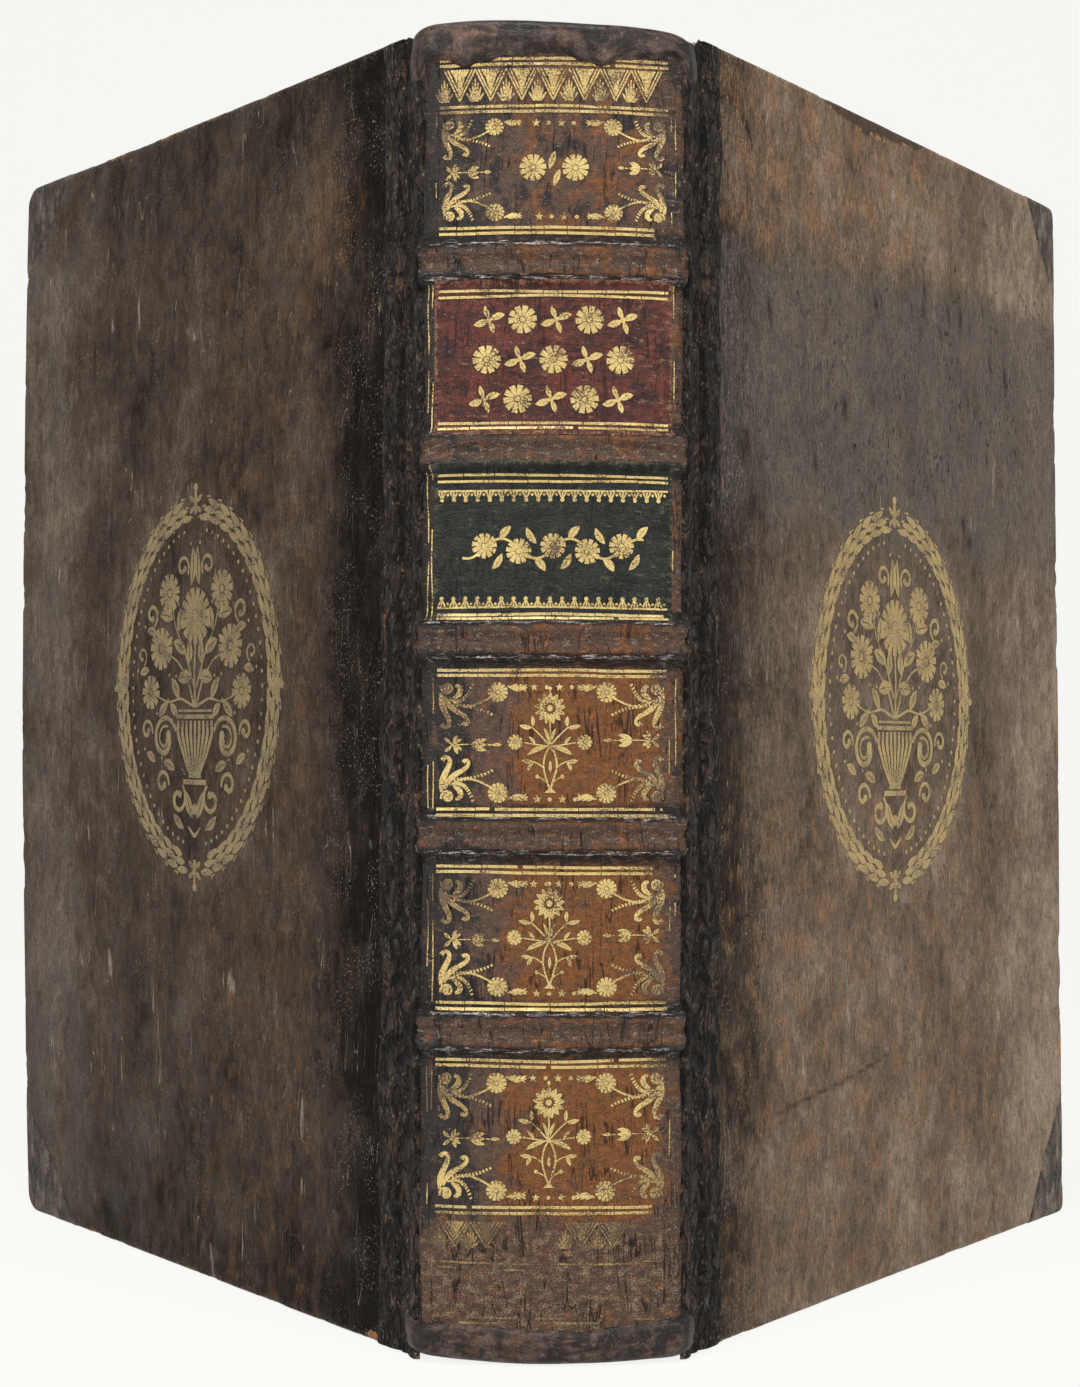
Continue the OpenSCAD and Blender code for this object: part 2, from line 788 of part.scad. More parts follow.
module pastedown(side) {
  low = pastedown_margin;
  high = cover_height - pastedown_margin;
  inner = cover_width - turn_in_width - seam_gap;
  color("linen")
    in_cover(side) {
      translate([board_start, shell_thick, low])
        cube([cover_width - pastedown_margin - board_start, pastedown_thick, high - low]);
      translate([board_start, core_out + paste_gap, turn_in_width + seam_gap])
        cube([inner - board_start, turn_in_thick + pastedown_thick - paste_gap,
          cover_height - 2 * turn_in_width - 2 * seam_gap]);
    }
}

// Where the slips begin, inside the board's edge
slip_start = board_start + seam_gap;

// Two slips: along their channels, through the board and frayed out inside it
module slip_pair(z, gap = 0) {
  hole_round = slip_width / 2;
  for (side = [-1, 1]) {
    translate([0, 0, z + side * cord_half_pitch]) {
      translate([slip_start - gap, core_in - gap, -slip_width / 2 - gap])
        cube([slip_run - slip_start + gap, slip_deep + 2 * gap, slip_width + 2 * gap]);
      translate([slip_run, core_in - gap, 0])
        rotate([-90, 0, 0]) cylinder(h = board_thick + 2 * gap, r = hole_round + gap);
    }
  }
  intersection() {
    translate([slip_run, core_out - fray_thick - gap, z])
      rotate([-90, 0, 0]) cylinder(h = fray_thick + 2 * gap, r = fray_round + gap);
    translate([slip_run - slip_width - gap, 0, z - fray_round - over])
      cube([fray_round * 2, stack_thick, 2 * (fray_round + over)]);
  }
}

module slips(side, i) {
  color("tan") in_cover(side) slip_pair(band_z[i]);
}

// Laurel border, rosettes and a vase of flowers inside it
module oval_design() {
  ring = [for (i = [0:71]) [cos(i * 5), sin(i * 5)]];
  outer = [oval_half_width, oval_half_height];
  inner = outer - [laurel_width, laurel_width];
  for (size = [outer, inner]) {
    difference() {
      polygon([for (p = ring) [p[0] * size[0], p[1] * size[1]]]);
      polygon([for (p = ring) [p[0] * (size[0] - 0.7), p[1] * (size[1] - 0.7)]]);
    }
  }
  middle = outer - [laurel_width, laurel_width] / 2;
  for (half = [0, 1]) {
    mirror([half, 0]) {
      for (i = [0:laurel_count - 1]) {
        a = -84 + 168 * (i + 0.5) / laurel_count;
        turn = atan2(middle[1] * cos(a), -middle[0] * sin(a));
        translate([middle[0] * cos(a), middle[1] * sin(a)])
          for (side = [-1, 1]) rotate(turn + side * 24) leaf(laurel_width * 0.85, laurel_width * 0.36);
      }
    }
  }
  for (side = [-1, 1]) {
    translate([0, side * (outer[1] + 1)]) blossom(3, 7);
    translate([side * (outer[0] - 1), 0]) blossom(3, 7);
  }
  vase();
}

module vase() {
  polygon([[-6, -26], [6, -26], [3, -23], [9, -12], [10, -7], [-10, -7], [-9, -12], [-3, -23]]);
  for (side = [0, 1]) {
    mirror([side, 0]) {
      translate([8, -14]) polygon(curl(14, 200, 60, 2.2, 12));
      translate([4, 8]) polygon(curl(13, 250, 60, 1.6, 12));
      translate([20, 4]) blossom(6, 9);
      translate([13, 22]) blossom(5, 8);
      translate([0, -4]) rotate(55) translate([4, 0]) leaf(12, 4);
      translate([0, 8]) rotate(50) translate([3, 0]) leaf(10, 3.4);
      translate([16, -14]) rotate(-20) leaf(10, 4);
    }
  }
  translate([-0.5, -7]) square([1, 22]);
  translate([0, 21]) blossom(8, 12);
}

module gilt_oval(side) {
  color(side > 0 ? "gold" : "#a08a58")
    in_cover(side)
      rotate([90, 0, 0])
        translate([oval_offset, cover_height / 2, 0])
          linear_extrude(gilt_thick) oval_design();
}

text_block();
flyleaf(1);  // front_flyleaf
flyleaf(-1);  // back_flyleaf
for (i = [0:BAND_COUNT - 1]) sewing_cords(i);
for (i = [0:BAND_COUNT]) spine_lining(i);
spine_leather();
headcap();
tailcap();
endband(text_high + endband_round + seam_gap);  // headband
endband(text_low - endband_round - seam_gap);  // tailband
label(0, "#6b1f20");  // title_label
label(1, "#1f3324");  // second_label
label_gilt();
spine_fillets();
spine_rolls();
for (i = [0:3]) compartment_gilt(gilt_rows[i] - 1);
board(1);  // front_board
cover_leather(1);  // front_leather
cover_corner(1, true);  // front_head_corner
cover_corner(1, false);  // front_tail_corner
joint_leather(1);  // front_joint
pastedown(1);  // front_pastedown
gilt_oval(1);  // front_oval
for (i = [0:BAND_COUNT - 1]) slips(1, i);
board(-1);  // back_board
cover_leather(-1);  // back_leather
cover_corner(-1, true);  // back_head_corner
cover_corner(-1, false);  // back_tail_corner
joint_leather(-1);  // back_joint
pastedown(-1);  // back_pastedown
gilt_oval(-1);  // back_oval
for (i = [0:BAND_COUNT - 1]) slips(-1, i);
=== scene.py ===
"""Antique folio in brown calf, standing on its tail edge with its spine to the viewer.

Lengths are in millimetres up to the moment a mesh is made. Along the back, s is the
distance round the curve from its middle; on a cover, u is the distance from the hinge
line and w the depth below the outer face.
"""

import json
import logging
from collections.abc import Callable, Sequence
from dataclasses import dataclass, field
from enum import Enum
from math import atan2, cos, hypot, pi, radians, sin

import bpy
import numpy as np
from mathutils import Matrix, Vector


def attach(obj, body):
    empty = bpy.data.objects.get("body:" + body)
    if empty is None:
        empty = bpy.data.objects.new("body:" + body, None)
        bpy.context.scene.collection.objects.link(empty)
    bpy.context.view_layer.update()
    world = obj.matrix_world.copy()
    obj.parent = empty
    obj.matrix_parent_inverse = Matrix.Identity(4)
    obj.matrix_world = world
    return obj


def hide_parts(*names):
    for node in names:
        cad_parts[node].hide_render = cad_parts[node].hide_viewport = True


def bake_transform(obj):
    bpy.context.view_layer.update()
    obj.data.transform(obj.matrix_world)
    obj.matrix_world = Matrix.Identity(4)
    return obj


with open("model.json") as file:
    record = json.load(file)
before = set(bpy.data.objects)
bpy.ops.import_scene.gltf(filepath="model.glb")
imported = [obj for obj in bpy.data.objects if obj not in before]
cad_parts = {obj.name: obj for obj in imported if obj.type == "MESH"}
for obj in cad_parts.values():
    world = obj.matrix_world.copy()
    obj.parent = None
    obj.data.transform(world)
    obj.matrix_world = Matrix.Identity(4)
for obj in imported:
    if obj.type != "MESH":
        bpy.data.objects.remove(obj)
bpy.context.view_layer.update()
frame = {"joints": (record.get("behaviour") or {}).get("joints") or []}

LOG = logging.getLogger("folio")
MM = 0.001
UV_PER_MM = 0.01
KEPT_NODES = {
    "text_block": "page_edges",
    "front_flyleaf": "endpaper",
    "back_flyleaf": "endpaper",
    "headband": "endband_thread",
    "tailband": "endband_thread",
    **{f"sewing_cords_{k}": "hemp_cord" for k in range(1, 6)},
    **{f"{side}_slips_{k}": "hemp_cord" for side in ("front", "back") for k in range(1, 6)},
    **{f"spine_lining_{k}": "parchment_lining" for k in range(1, 7)},
}

Array = np.ndarray
Point = tuple[float, float]


class Side(Enum):
    """The two covers, by the sign of X they stand on."""

    FRONT = 1
    BACK = -1

    @property
    def word(self) -> str:
        """Name of this side in node and body names."""
        return "front" if self is Side.FRONT else "back"


# Surfaces.


def smooth(t: Array) -> Array:
    """Smooth step of a value clipped to 0 and 1."""
    t = np.clip(t, 0, 1)
    return t * t * (3 - 2 * t)


def hashed(ix: Array, iy: Array, seed: float) -> Array:
    """Repeatable pseudo-random number from 0 to 1 at whole grid places."""
    h = np.sin(ix * 127.1 + iy * 311.7 + seed * 74.7) * 43758.5453
    return h - np.floor(h)


def draw(step: int, row: float, kind: float) -> float:
    """Repeatable pseudo-random number from 0 to 1 for one step of one row of tooling."""
    return float(hashed(np.array(step + 0.5), np.array(row), kind))


def value_noise(x: Array, y: Array, seed: float = 0.0) -> Array:
    """Smooth noise from 0 to 1 with features about one unit across."""
    x, y = np.broadcast_arrays(np.asarray(x, float), np.asarray(y, float))
    ix, iy = np.floor(x), np.floor(y)
    fx, fy = smooth(x - ix), smooth(y - iy)
    low = hashed(ix, iy, seed) * (1 - fx) + hashed(ix + 1, iy, seed) * fx
    high = hashed(ix, iy + 1, seed) * (1 - fx) + hashed(ix + 1, iy + 1, seed) * fx
    return low * (1 - fy) + high * fy


def fractal(x: Array, y: Array, seed: float = 0.0, octaves: int = 4) -> Array:
    """Sum of halving octaves of value noise, from 0 to 1.

    Args:
        x: places across, in features.
        y: places up, in features.
        seed: which noise it is.
        octaves: how many sizes are added.

    Returns:
        The noise at every place.
    """
    total, reach, weight = 0.0, 0.0, 1.0
    for k in range(octaves):
        total = total + weight * value_noise(x * 2.03**k, y * 2.03**k, seed + 13.7 * k)
        reach += weight
        weight *= 0.5
    return total / reach


def ridged(x: Array, y: Array, seed: float = 0.0, octaves: int = 3) -> Array:
    """Noise with sharp crests at 1, for cracks and creases."""
    return 1 - np.abs(2 * fractal(x, y, seed, octaves) - 1)


HINGE_PLACE = frame["joints"][0]["pos_m"]


@dataclass(frozen=True)
class SpineForm:
    """The rounded back: one wide arc and a tighter arc at each shoulder."""

    hinge_x: float = HINGE_PLACE[0] / MM
    hinge_y: float = HINGE_PLACE[1] / MM
    back_half: float = 29.0
    back_rise: float = 3.0
    joint_gap: float = 1.3
    shoulder_drop: float = 0.7
    cord_radius: float = 2.6
    cord_sink: float = 0.25
    cord_half_pitch: float = 2.65
    saddle: float = 1.5
    band_rise: float = 2.35
    band_end: float = 0.2
    band_fade: float = 25.0
    band_reach: float = 7.5
    skirt_rise: float = 0.75
    skirt_run: float = 1.9
    bands: tuple[float, ...] = (272.7, 225.7, 178.7, 130.3, 81.9)

    @property
    def back_angle(self) -> float:
        """Half angle of the wide arc, in radians."""
        return 2 * atan2(self.back_rise, self.back_half)

    @property
    def back_round(self) -> float:
        """Radius of the wide arc."""
        return self.back_half / sin(self.back_angle)

    @property
    def shoulder_round(self) -> float:
        """Radius of a shoulder's arc."""
        return (self.hinge_x - self.joint_gap - self.back_half) / (1 - sin(self.back_angle))

    @property
    def shoulder_x(self) -> float:
        """Distance of a shoulder's centre from the middle."""
        return (self.back_round - self.shoulder_round) * sin(self.back_angle)

    @property
    def arc_y(self) -> float:
        """Depth of the wide arc's centre behind the hinge line."""
        return -self.shoulder_drop + (self.back_round - self.shoulder_round) * cos(self.back_angle)

    @property
    def flat_end(self) -> float:
        """Distance round the curve at which the wide arc ends."""
        return self.back_round * self.back_angle

    @property
    def side_end(self) -> float:
        """Distance round the curve at which the side faces the cover."""
        return self.flat_end + self.shoulder_round * (pi / 2 - self.back_angle)

    def angle(self, s: Array) -> Array:
        """Turn of the surface at a distance round the curve, in radians."""
        s = np.abs(s)
        wide = s / self.back_round
        tight = self.back_angle + (s - self.flat_end) / self.shoulder_round
        return np.where(s <= self.flat_end, wide, np.minimum(tight, pi / 2))

    def place(self, s: Array, z: Array, rise: Array) -> Array:
        """Points on the back.

        Args:
            s: distance round the curve from the middle.
            z: height above the tail.
            rise: height above the plain back.

        Returns:
            An array of places in millimetres, one row each.
        """
        s, z, rise = np.broadcast_arrays(*(np.asarray(v, float) for v in (s, z, rise)))
        turn, sign = self.angle(s), np.sign(s)
        flat = np.abs(s) <= self.flat_end
        wide = self.back_round + rise
        tight = self.shoulder_round + rise
        x = np.where(flat, wide * np.sin(turn), self.shoulder_x + tight * np.sin(turn))
        y = np.where(
            flat,
            self.arc_y - wide * np.cos(turn),
            -self.shoulder_drop - tight * np.cos(turn),
        )
        y = y + np.maximum(np.abs(s) - self.side_end, 0)
        return np.stack([sign * x, y + self.hinge_y, z], axis=-1)

    def fade(self, s: Array) -> Array:
        """Share of a band's height that is left at a distance round the curve."""
        turn = np.degrees(self.angle(s))
        left = 1 - self.band_end / self.band_rise
        return 1 - left * smooth((turn - self.band_fade) / (90 - self.band_fade))

    def band(self, s: Array, z: Array) -> Array:
        """Height of the double cords under the leather at a place."""
        height = np.zeros(np.broadcast(s, z).shape)
        for k, middle in enumerate(self.bands):
            wander = 0.5 * (value_noise(s / 13, 3.0 + k, 5) - 0.5)
            t = z - middle - wander
            cords = np.zeros_like(height)
            for side in (-1, 1):
                reach = self.cord_radius**2 - (t - side * self.cord_half_pitch) ** 2
                cords = np.maximum(cords, np.sqrt(np.maximum(reach, 0)) - self.cord_sink)
            inside = np.abs(t) < self.cord_half_pitch
            cords = np.where(inside, np.maximum(cords, self.saddle), cords)
            foot = np.abs(t) - self.cord_half_pitch - self.cord_radius + 0.7
            skirt = self.skirt_rise * (1 - smooth(foot / self.skirt_run))
            rubbed = 1 - 0.16 * value_noise(s / 7, t / 5 + 9 * k, 21 + k)
            own = np.where(np.abs(t) < self.band_reach, np.maximum(cords * rubbed, skirt), 0)
            height = np.maximum(height, own)
        return height

    def relief(self, s: Array, z: Array) -> Array:
        """Rise of the leather's face above the plain back, with its bands and dents."""
        s, z = np.broadcast_arrays(np.asarray(s, float), np.asarray(z, float))
        base = 0.28 * (fractal(s / 16, z / 24, 2, 3) - 0.5)
        creases = -0.16 * smooth((ridged(s / 9, z / 3.2, 8) - 0.9) / 0.1)
        band = self.band(s, z) * self.fade(s)
        wrinkle = 0.14 * (fractal(s / 3, z / 1.1, 31, 2) - 0.5) * smooth(band / 0.8)
        groove = -0.45 * np.exp(-(((np.abs(s) - 33.2) / 0.8) ** 2))
        rough = 0.3 * (fractal(s / 2.2, z / 7, 44, 3) - 0.5) * smooth((np.abs(s) - 31) / 2)
        return base + creases + band + wrinkle + groove + rough


@dataclass(frozen=True)
class CoverForm:
    """One covered board, standing open, a little warped as the real one is."""

    side: Side
    spine: SpineForm
    height: float = 333.0
    width: float = 215.0
    thick: float = 5.35
    lean: float = radians(51.5)
    edge_round: float = 1.5
    rim_inset: float = 6.0
    stiff_from: float = 1.4
    stiff_run: float = 3.4
    head_lift: float = 0.0
    bow: tuple[float, float, float] = (0.0, 0.0, 0.0)
    corner_power: float = 2.0
    seed: float = 0.0

    def warp(self, u: Array, z: Array) -> tuple[Array, Array]:
        """Lift along Z and shift along the outward normal at a place on the cover."""
        share = np.clip(u / self.width, 0, 1.02) ** 1.5
        t = np.clip(z / self.height, 0, 1)
        tail, middle, head = self.bow
        shift = tail * (1 - t) * (1 - 2 * t) + 4 * middle * t * (1 - t) + head * t * (2 * t - 1)
        return share * self.head_lift * t, share * shift

    def place(self, u: Array, w: Array, z: Array) -> Array:
        """Points in a cover, from distance to the hinge line, depth and height.

        Where the board bows inwards, its inner face stays flat, so that the cover still shuts.
        """
        u, w, z = np.broadcast_arrays(*(np.asarray(v, float) for v in (u, w, z)))
        lift, shift = self.warp(u, z)
        flat = smooth((w - self.stiff_from) / self.stiff_run)
        deep = w - np.where(shift < 0, shift * (1 - flat), shift)
        sign = self.side.value
        x = sign * (self.spine.hinge_x + u * cos(self.lean) - deep * sin(self.lean))
        y = self.spine.hinge_y + u * sin(self.lean) + deep * cos(self.lean)
        return np.stack([x, y, z + lift], axis=-1)

    def relief(self, u: Array, z: Array) -> Array:
        """Outward swell and dents of the leather on the outer face."""
        broad = 0.5 * (fractal(u / 55, z / 75, self.seed + 1, 3) - 0.5)
        fibres = 0.09 * (fractal(u / 1.7, z / 16, self.seed + 2, 3) - 0.5)
        ridges = 0.16 * (fractal(u / 5, z / 40, self.seed + 3, 2) - 0.5)
        near = 0.35 * (fractal(u / 3, z / 11, self.seed + 4, 3) - 0.5) * (1 - smooth((u - 8) / 14))
        return broad + fibres + ridges + near


# Mesh making.


@dataclass
class Skin:
    """Points, faces and surface values of one mesh before it is made."""

    points: Array
    faces: list[tuple[int, ...]]
    surface: Array
    masks: dict[str, Array] = field(default_factory=dict)

    @staticmethod
    def sheet(points: Array, across: Array, up: Array, **masks: Array) -> "Skin":
        """A skin over a grid of points.

        Args:
            points: the places, in rows and columns.
            across: surface coordinate across the sheet, of the grid's shape.
            up: surface coordinate up the sheet, of the grid's shape.
            masks: named values for the finish, one for each point.
        """
        rows, columns = across.shape
        corners = [r * columns + c for r in range(rows - 1) for c in range(columns - 1)]
        return Skin(
            points.reshape(-1, 3),
            [(i, i + 1, i + columns + 1, i + columns) for i in corners],
            np.stack([across.ravel(), up.ravel()], axis=-1),
            {name: np.ravel(values) for name, values in masks.items()},
        )

    def joined(self, other: "Skin") -> "Skin":
        """This skin and another one as a single skin."""
        shift = len(self.points)
        faces = self.faces + [tuple(i + shift for i in f) for f in other.faces]
        names = set(self.masks) | set(other.masks)
        here, there = np.zeros(shift), np.zeros(len(other.points))
        masks = {n: np.concatenate([self.masks.get(n, here), other.masks.get(n, there)]) for n in names}
        points = np.concatenate([self.points, other.points])
        return Skin(points, faces, np.concatenate([self.surface, other.surface]), masks)

    def flipped(self) -> "Skin":
        """The same skin with its faces turned round."""
        return Skin(self.points, [f[::-1] for f in self.faces], self.surface, self.masks)

    def welded(self) -> "Skin":
        """The skin with coinciding points merged and collapsed faces dropped."""
        key = np.round(self.points, 4)
        _, first, back = np.unique(key, axis=0, return_index=True, return_inverse=True)
        back = back.reshape(-1)
        faces = []
        for f in self.faces:
            ring = [int(back[i]) for i in f]
            ring = [v for k, v in enumerate(ring) if v != ring[k - 1]]
            if len(set(ring)) > 2:
                faces.append(tuple(ring))
        masks = {n: v[first] for n, v in self.masks.items()}
        return Skin(self.points[first], faces, self.surface[first], masks)

    def make(self, name: str, material: bpy.types.Material) -> bpy.types.Object:
        """Builds the Blender object.

        Args:
            name: name of the piece.
            material: finish of the whole piece.

        Returns:
            The new mesh object, with smooth faces, a surface map and its masks.
        """
        mesh = bpy.data.meshes.new(name)
        mesh.from_pydata((self.points * MM).tolist(), [], self.faces)
        mesh.validate()
        mesh.polygons.foreach_set("use_smooth", [True] * len(mesh.polygons))
        corner = np.zeros(len(mesh.loops), np.int32)
        mesh.loops.foreach_get("vertex_index", corner)
        layer = mesh.uv_layers.new(name="surface")
        layer.data.foreach_set("uv", (self.surface * UV_PER_MM)[corner].ravel())
        for mask, values in self.masks.items():
            attribute = mesh.attributes.new(mask, "FLOAT", "POINT")
            attribute.data.foreach_set("value", np.asarray(values, np.float32))
        mesh.materials.append(material)
        piece = bpy.data.objects.new(name, mesh)
        bpy.context.scene.collection.objects.link(piece)
        return piece


def put(piece: bpy.types.Object, body: str, node: str | None, slot: str) -> bpy.types.Object:
    """Puts a finished piece on a body.

    Args:
        piece: the piece.
        body: body of the frame that it moves with.
        node: CAD node that it stands for, if no other piece does.
        slot: its material slot; not used.

    Returns:
        The same piece.
    """
    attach(piece, body)
    if node:
        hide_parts(node)
    LOG.info("%s: %d faces", piece.name, len(piece.data.polygons))
    return piece


# Finishes.


class Term:
    """A number carried by one socket of a finish, with the usual operators."""

    def __init__(self, board: "NodeBoard", socket: bpy.types.NodeSocket) -> None:
        """Keeps the socket and the board it stands on."""
        self.board, self.socket = board, socket

    def __add__(self, other: "Term | float") -> "Term":
        """Sum."""
        return self.board.maths("ADD", self, other)

    def __sub__(self, other: "Term | float") -> "Term":
        """Difference."""
        return self.board.maths("SUBTRACT", self, other)

    def __rsub__(self, other: float) -> "Term":
        """Difference from a plain number."""
        return self.board.maths("SUBTRACT", other, self)

    def __mul__(self, other: "Term | float") -> "Term":
        """Product."""
        return self.board.maths("MULTIPLY", self, other)

    __radd__ = __add__
    __rmul__ = __mul__

    def most(self, other: "Term | float") -> "Term":
        """The larger of two numbers."""
        return self.board.maths("MAXIMUM", self, other)

    def least(self, other: "Term | float") -> "Term":
        """The smaller of two numbers."""
        return self.board.maths("MINIMUM", self, other)

    def step(self, low: float, high: float) -> "Term":
        """Smooth step from 0 at one value to 1 at another."""
        node = self.board.node(
            "ShaderNodeMapRange",
            {"interpolation_type": "SMOOTHSTEP"},
            {"Value": self, "From Min": low, "From Max": high, "To Min": 0.0, "To Max": 1.0},
        )
        return Term(self.board, node.outputs[0])


Colour = tuple[float, float, float]


def srgb(red: float, green: float, blue: float) -> Colour:
    """A colour given as it looks on a screen, from 0 to 255, in scene values."""

    def linear(value: float) -> float:
        """One channel in scene values."""
        v = value / 255
        return v / 12.92 if v <= 0.04045 else ((v + 0.055) / 1.055) ** 2.4

    return linear(red), linear(green), linear(blue)


class NodeBoard:
    """The node tree of one finish, ending in its Principled shader."""

    def __init__(self, name: str) -> None:
        """Starts a finish of that name."""
        self.material = bpy.data.materials.new(name)
        self.material.use_nodes = True
        self.tree = self.material.node_tree
        self.shader = self.tree.nodes["Principled BSDF"]

    def node(self, kind: str, settings: dict | None = None, sockets: dict | None = None) -> bpy.types.Node:
        """Adds a node.

        Args:
            kind: the node's type.
            settings: values set on the node itself, before its sockets.
            sockets: values or links of its sockets, by name or place.

        Returns:
            The new node.
        """
        node = self.tree.nodes.new(kind)
        for name, value in (settings or {}).items():
            setattr(node, name, value)
        for name, value in (sockets or {}).items():
            self.feed(node.inputs[name], value)
        return node

    def feed(self, socket: bpy.types.NodeSocket, value: object) -> None:
        """Links a term or socket to a socket, or sets its value."""
        if isinstance(value, Term):
            value = value.socket
        if isinstance(value, bpy.types.NodeSocket):
            self.tree.links.new(socket, value)
        elif isinstance(value, tuple) and socket.type == "RGBA":
            socket.default_value = (*value, 1.0)
        else:
            socket.default_value = value

    def maths(self, operation: str, a: Term | float, b: Term | float) -> Term:
        """Adds one Math node for two values."""
        node = self.node("ShaderNodeMath", {"operation": operation}, {0: a, 1: b})
        return Term(self, node.outputs[0])

    def spread(self, across: float, up: float, shift: float, solid: bool = False) -> bpy.types.NodeSocket:
        """Coordinates in which one unit is so many millimetres across and up the surface."""
        if solid:
            source = self.node("ShaderNodeTexCoord").outputs["Object"]
            scale = (1 / (MM * across), 1 / (MM * across), 1 / (MM * up))
        else:
            source = self.node("ShaderNodeUVMap", {"uv_map": "surface"}).outputs[0]
            scale = (1 / (UV_PER_MM * across), 1 / (UV_PER_MM * up), 1.0)
        sized = self.node("ShaderNodeVectorMath", {"operation": "MULTIPLY"}, {0: source, 1: scale})
        away = (shift * 7.3, shift * 3.1, shift)
        moved = self.node("ShaderNodeVectorMath", {"operation": "ADD"}, {0: sized.outputs[0], 1: away})
        return moved.outputs[0]

    def noise(
        self, across: float, up: float, shift: float, detail: float = 3.0, rough: float = 0.55,
        bend: float = 0.0, solid: bool = False,
    ) -> Term:
        """Noise whose features are so many millimetres across and up."""
        node = self.node(
            "ShaderNodeTexNoise",
            {"noise_dimensions": "3D" if solid else "2D"},
            {
                "Vector": self.spread(across, up, shift, solid), "Scale": 1.0, "Detail": detail,
                "Roughness": rough, "Distortion": bend,
            },
        )
        return Term(self, node.outputs[0])

    def cells(self, across: float, up: float, shift: float, edges: bool = True) -> Term:
        """Distance to the edges, or to the middles, of cells of that size."""
        node = self.node(
            "ShaderNodeTexVoronoi",
            {"voronoi_dimensions": "2D", "feature": "DISTANCE_TO_EDGE" if edges else "F1"},
            {"Vector": self.spread(across, up, shift), "Scale": 1.0},
        )
        return Term(self, node.outputs[0])

    def swing(
        self, across: float, up: float, shift: float, reach: float, detail: float = 4.0, **form: float
    ) -> Term:
        """Noise that swings about 0, by up to about half of the reach."""
        return (self.noise(across, up, shift, detail, **form) - 0.5) * reach

    def crack(self, across: float, up: float, shift: float, width: float, detail: float = 3.0) -> Term:
        """Thin wandering lines: where noise passes through its middle value."""
        gap = self.maths("ABSOLUTE", self.noise(across, up, shift, detail, 0.6, 0.5) - 0.5, 0.0)
        return 1 - gap.step(width * 0.4, width)

    def mask(self, name: str) -> Term:
        """A value stored on the mesh's points."""
        node = self.node("ShaderNodeAttribute", {"attribute_name": name, "attribute_type": "GEOMETRY"})
        return Term(self, node.outputs["Fac"])

    def mix(self, share: Term | float, a: object, b: object) -> bpy.types.NodeSocket:
        """One colour turning into another."""
        factor, first, second, result = 0, 6, 7, 2
        sockets = {factor: share, first: a, second: b}
        return self.node("ShaderNodeMix", {"data_type": "RGBA"}, sockets).outputs[result]

    def shade(self, colour: object, strength: Term) -> bpy.types.NodeSocket:
        """A colour made darker or lighter by a number."""
        node = self.node("ShaderNodeVectorMath", {"operation": "SCALE"}, {0: colour, "Scale": strength})
        return node.outputs[0]

    def bump(self, height: Term, depth: float, strength: float = 1.0) -> bpy.types.NodeSocket:
        """Surface normal from a height, where 1 stands for so many millimetres."""
        sockets = {"Height": height, "Distance": depth * MM, "Strength": strength}
        return self.node("ShaderNodeBump", None, sockets).outputs[0]

    def dress(self, **sockets: object) -> bpy.types.Material:
        """Feeds the shader's sockets, named with underscores, and gives the material."""
        for name, value in sockets.items():
            self.feed(self.shader.inputs[name.replace("_", " ")], value)
        return self.material


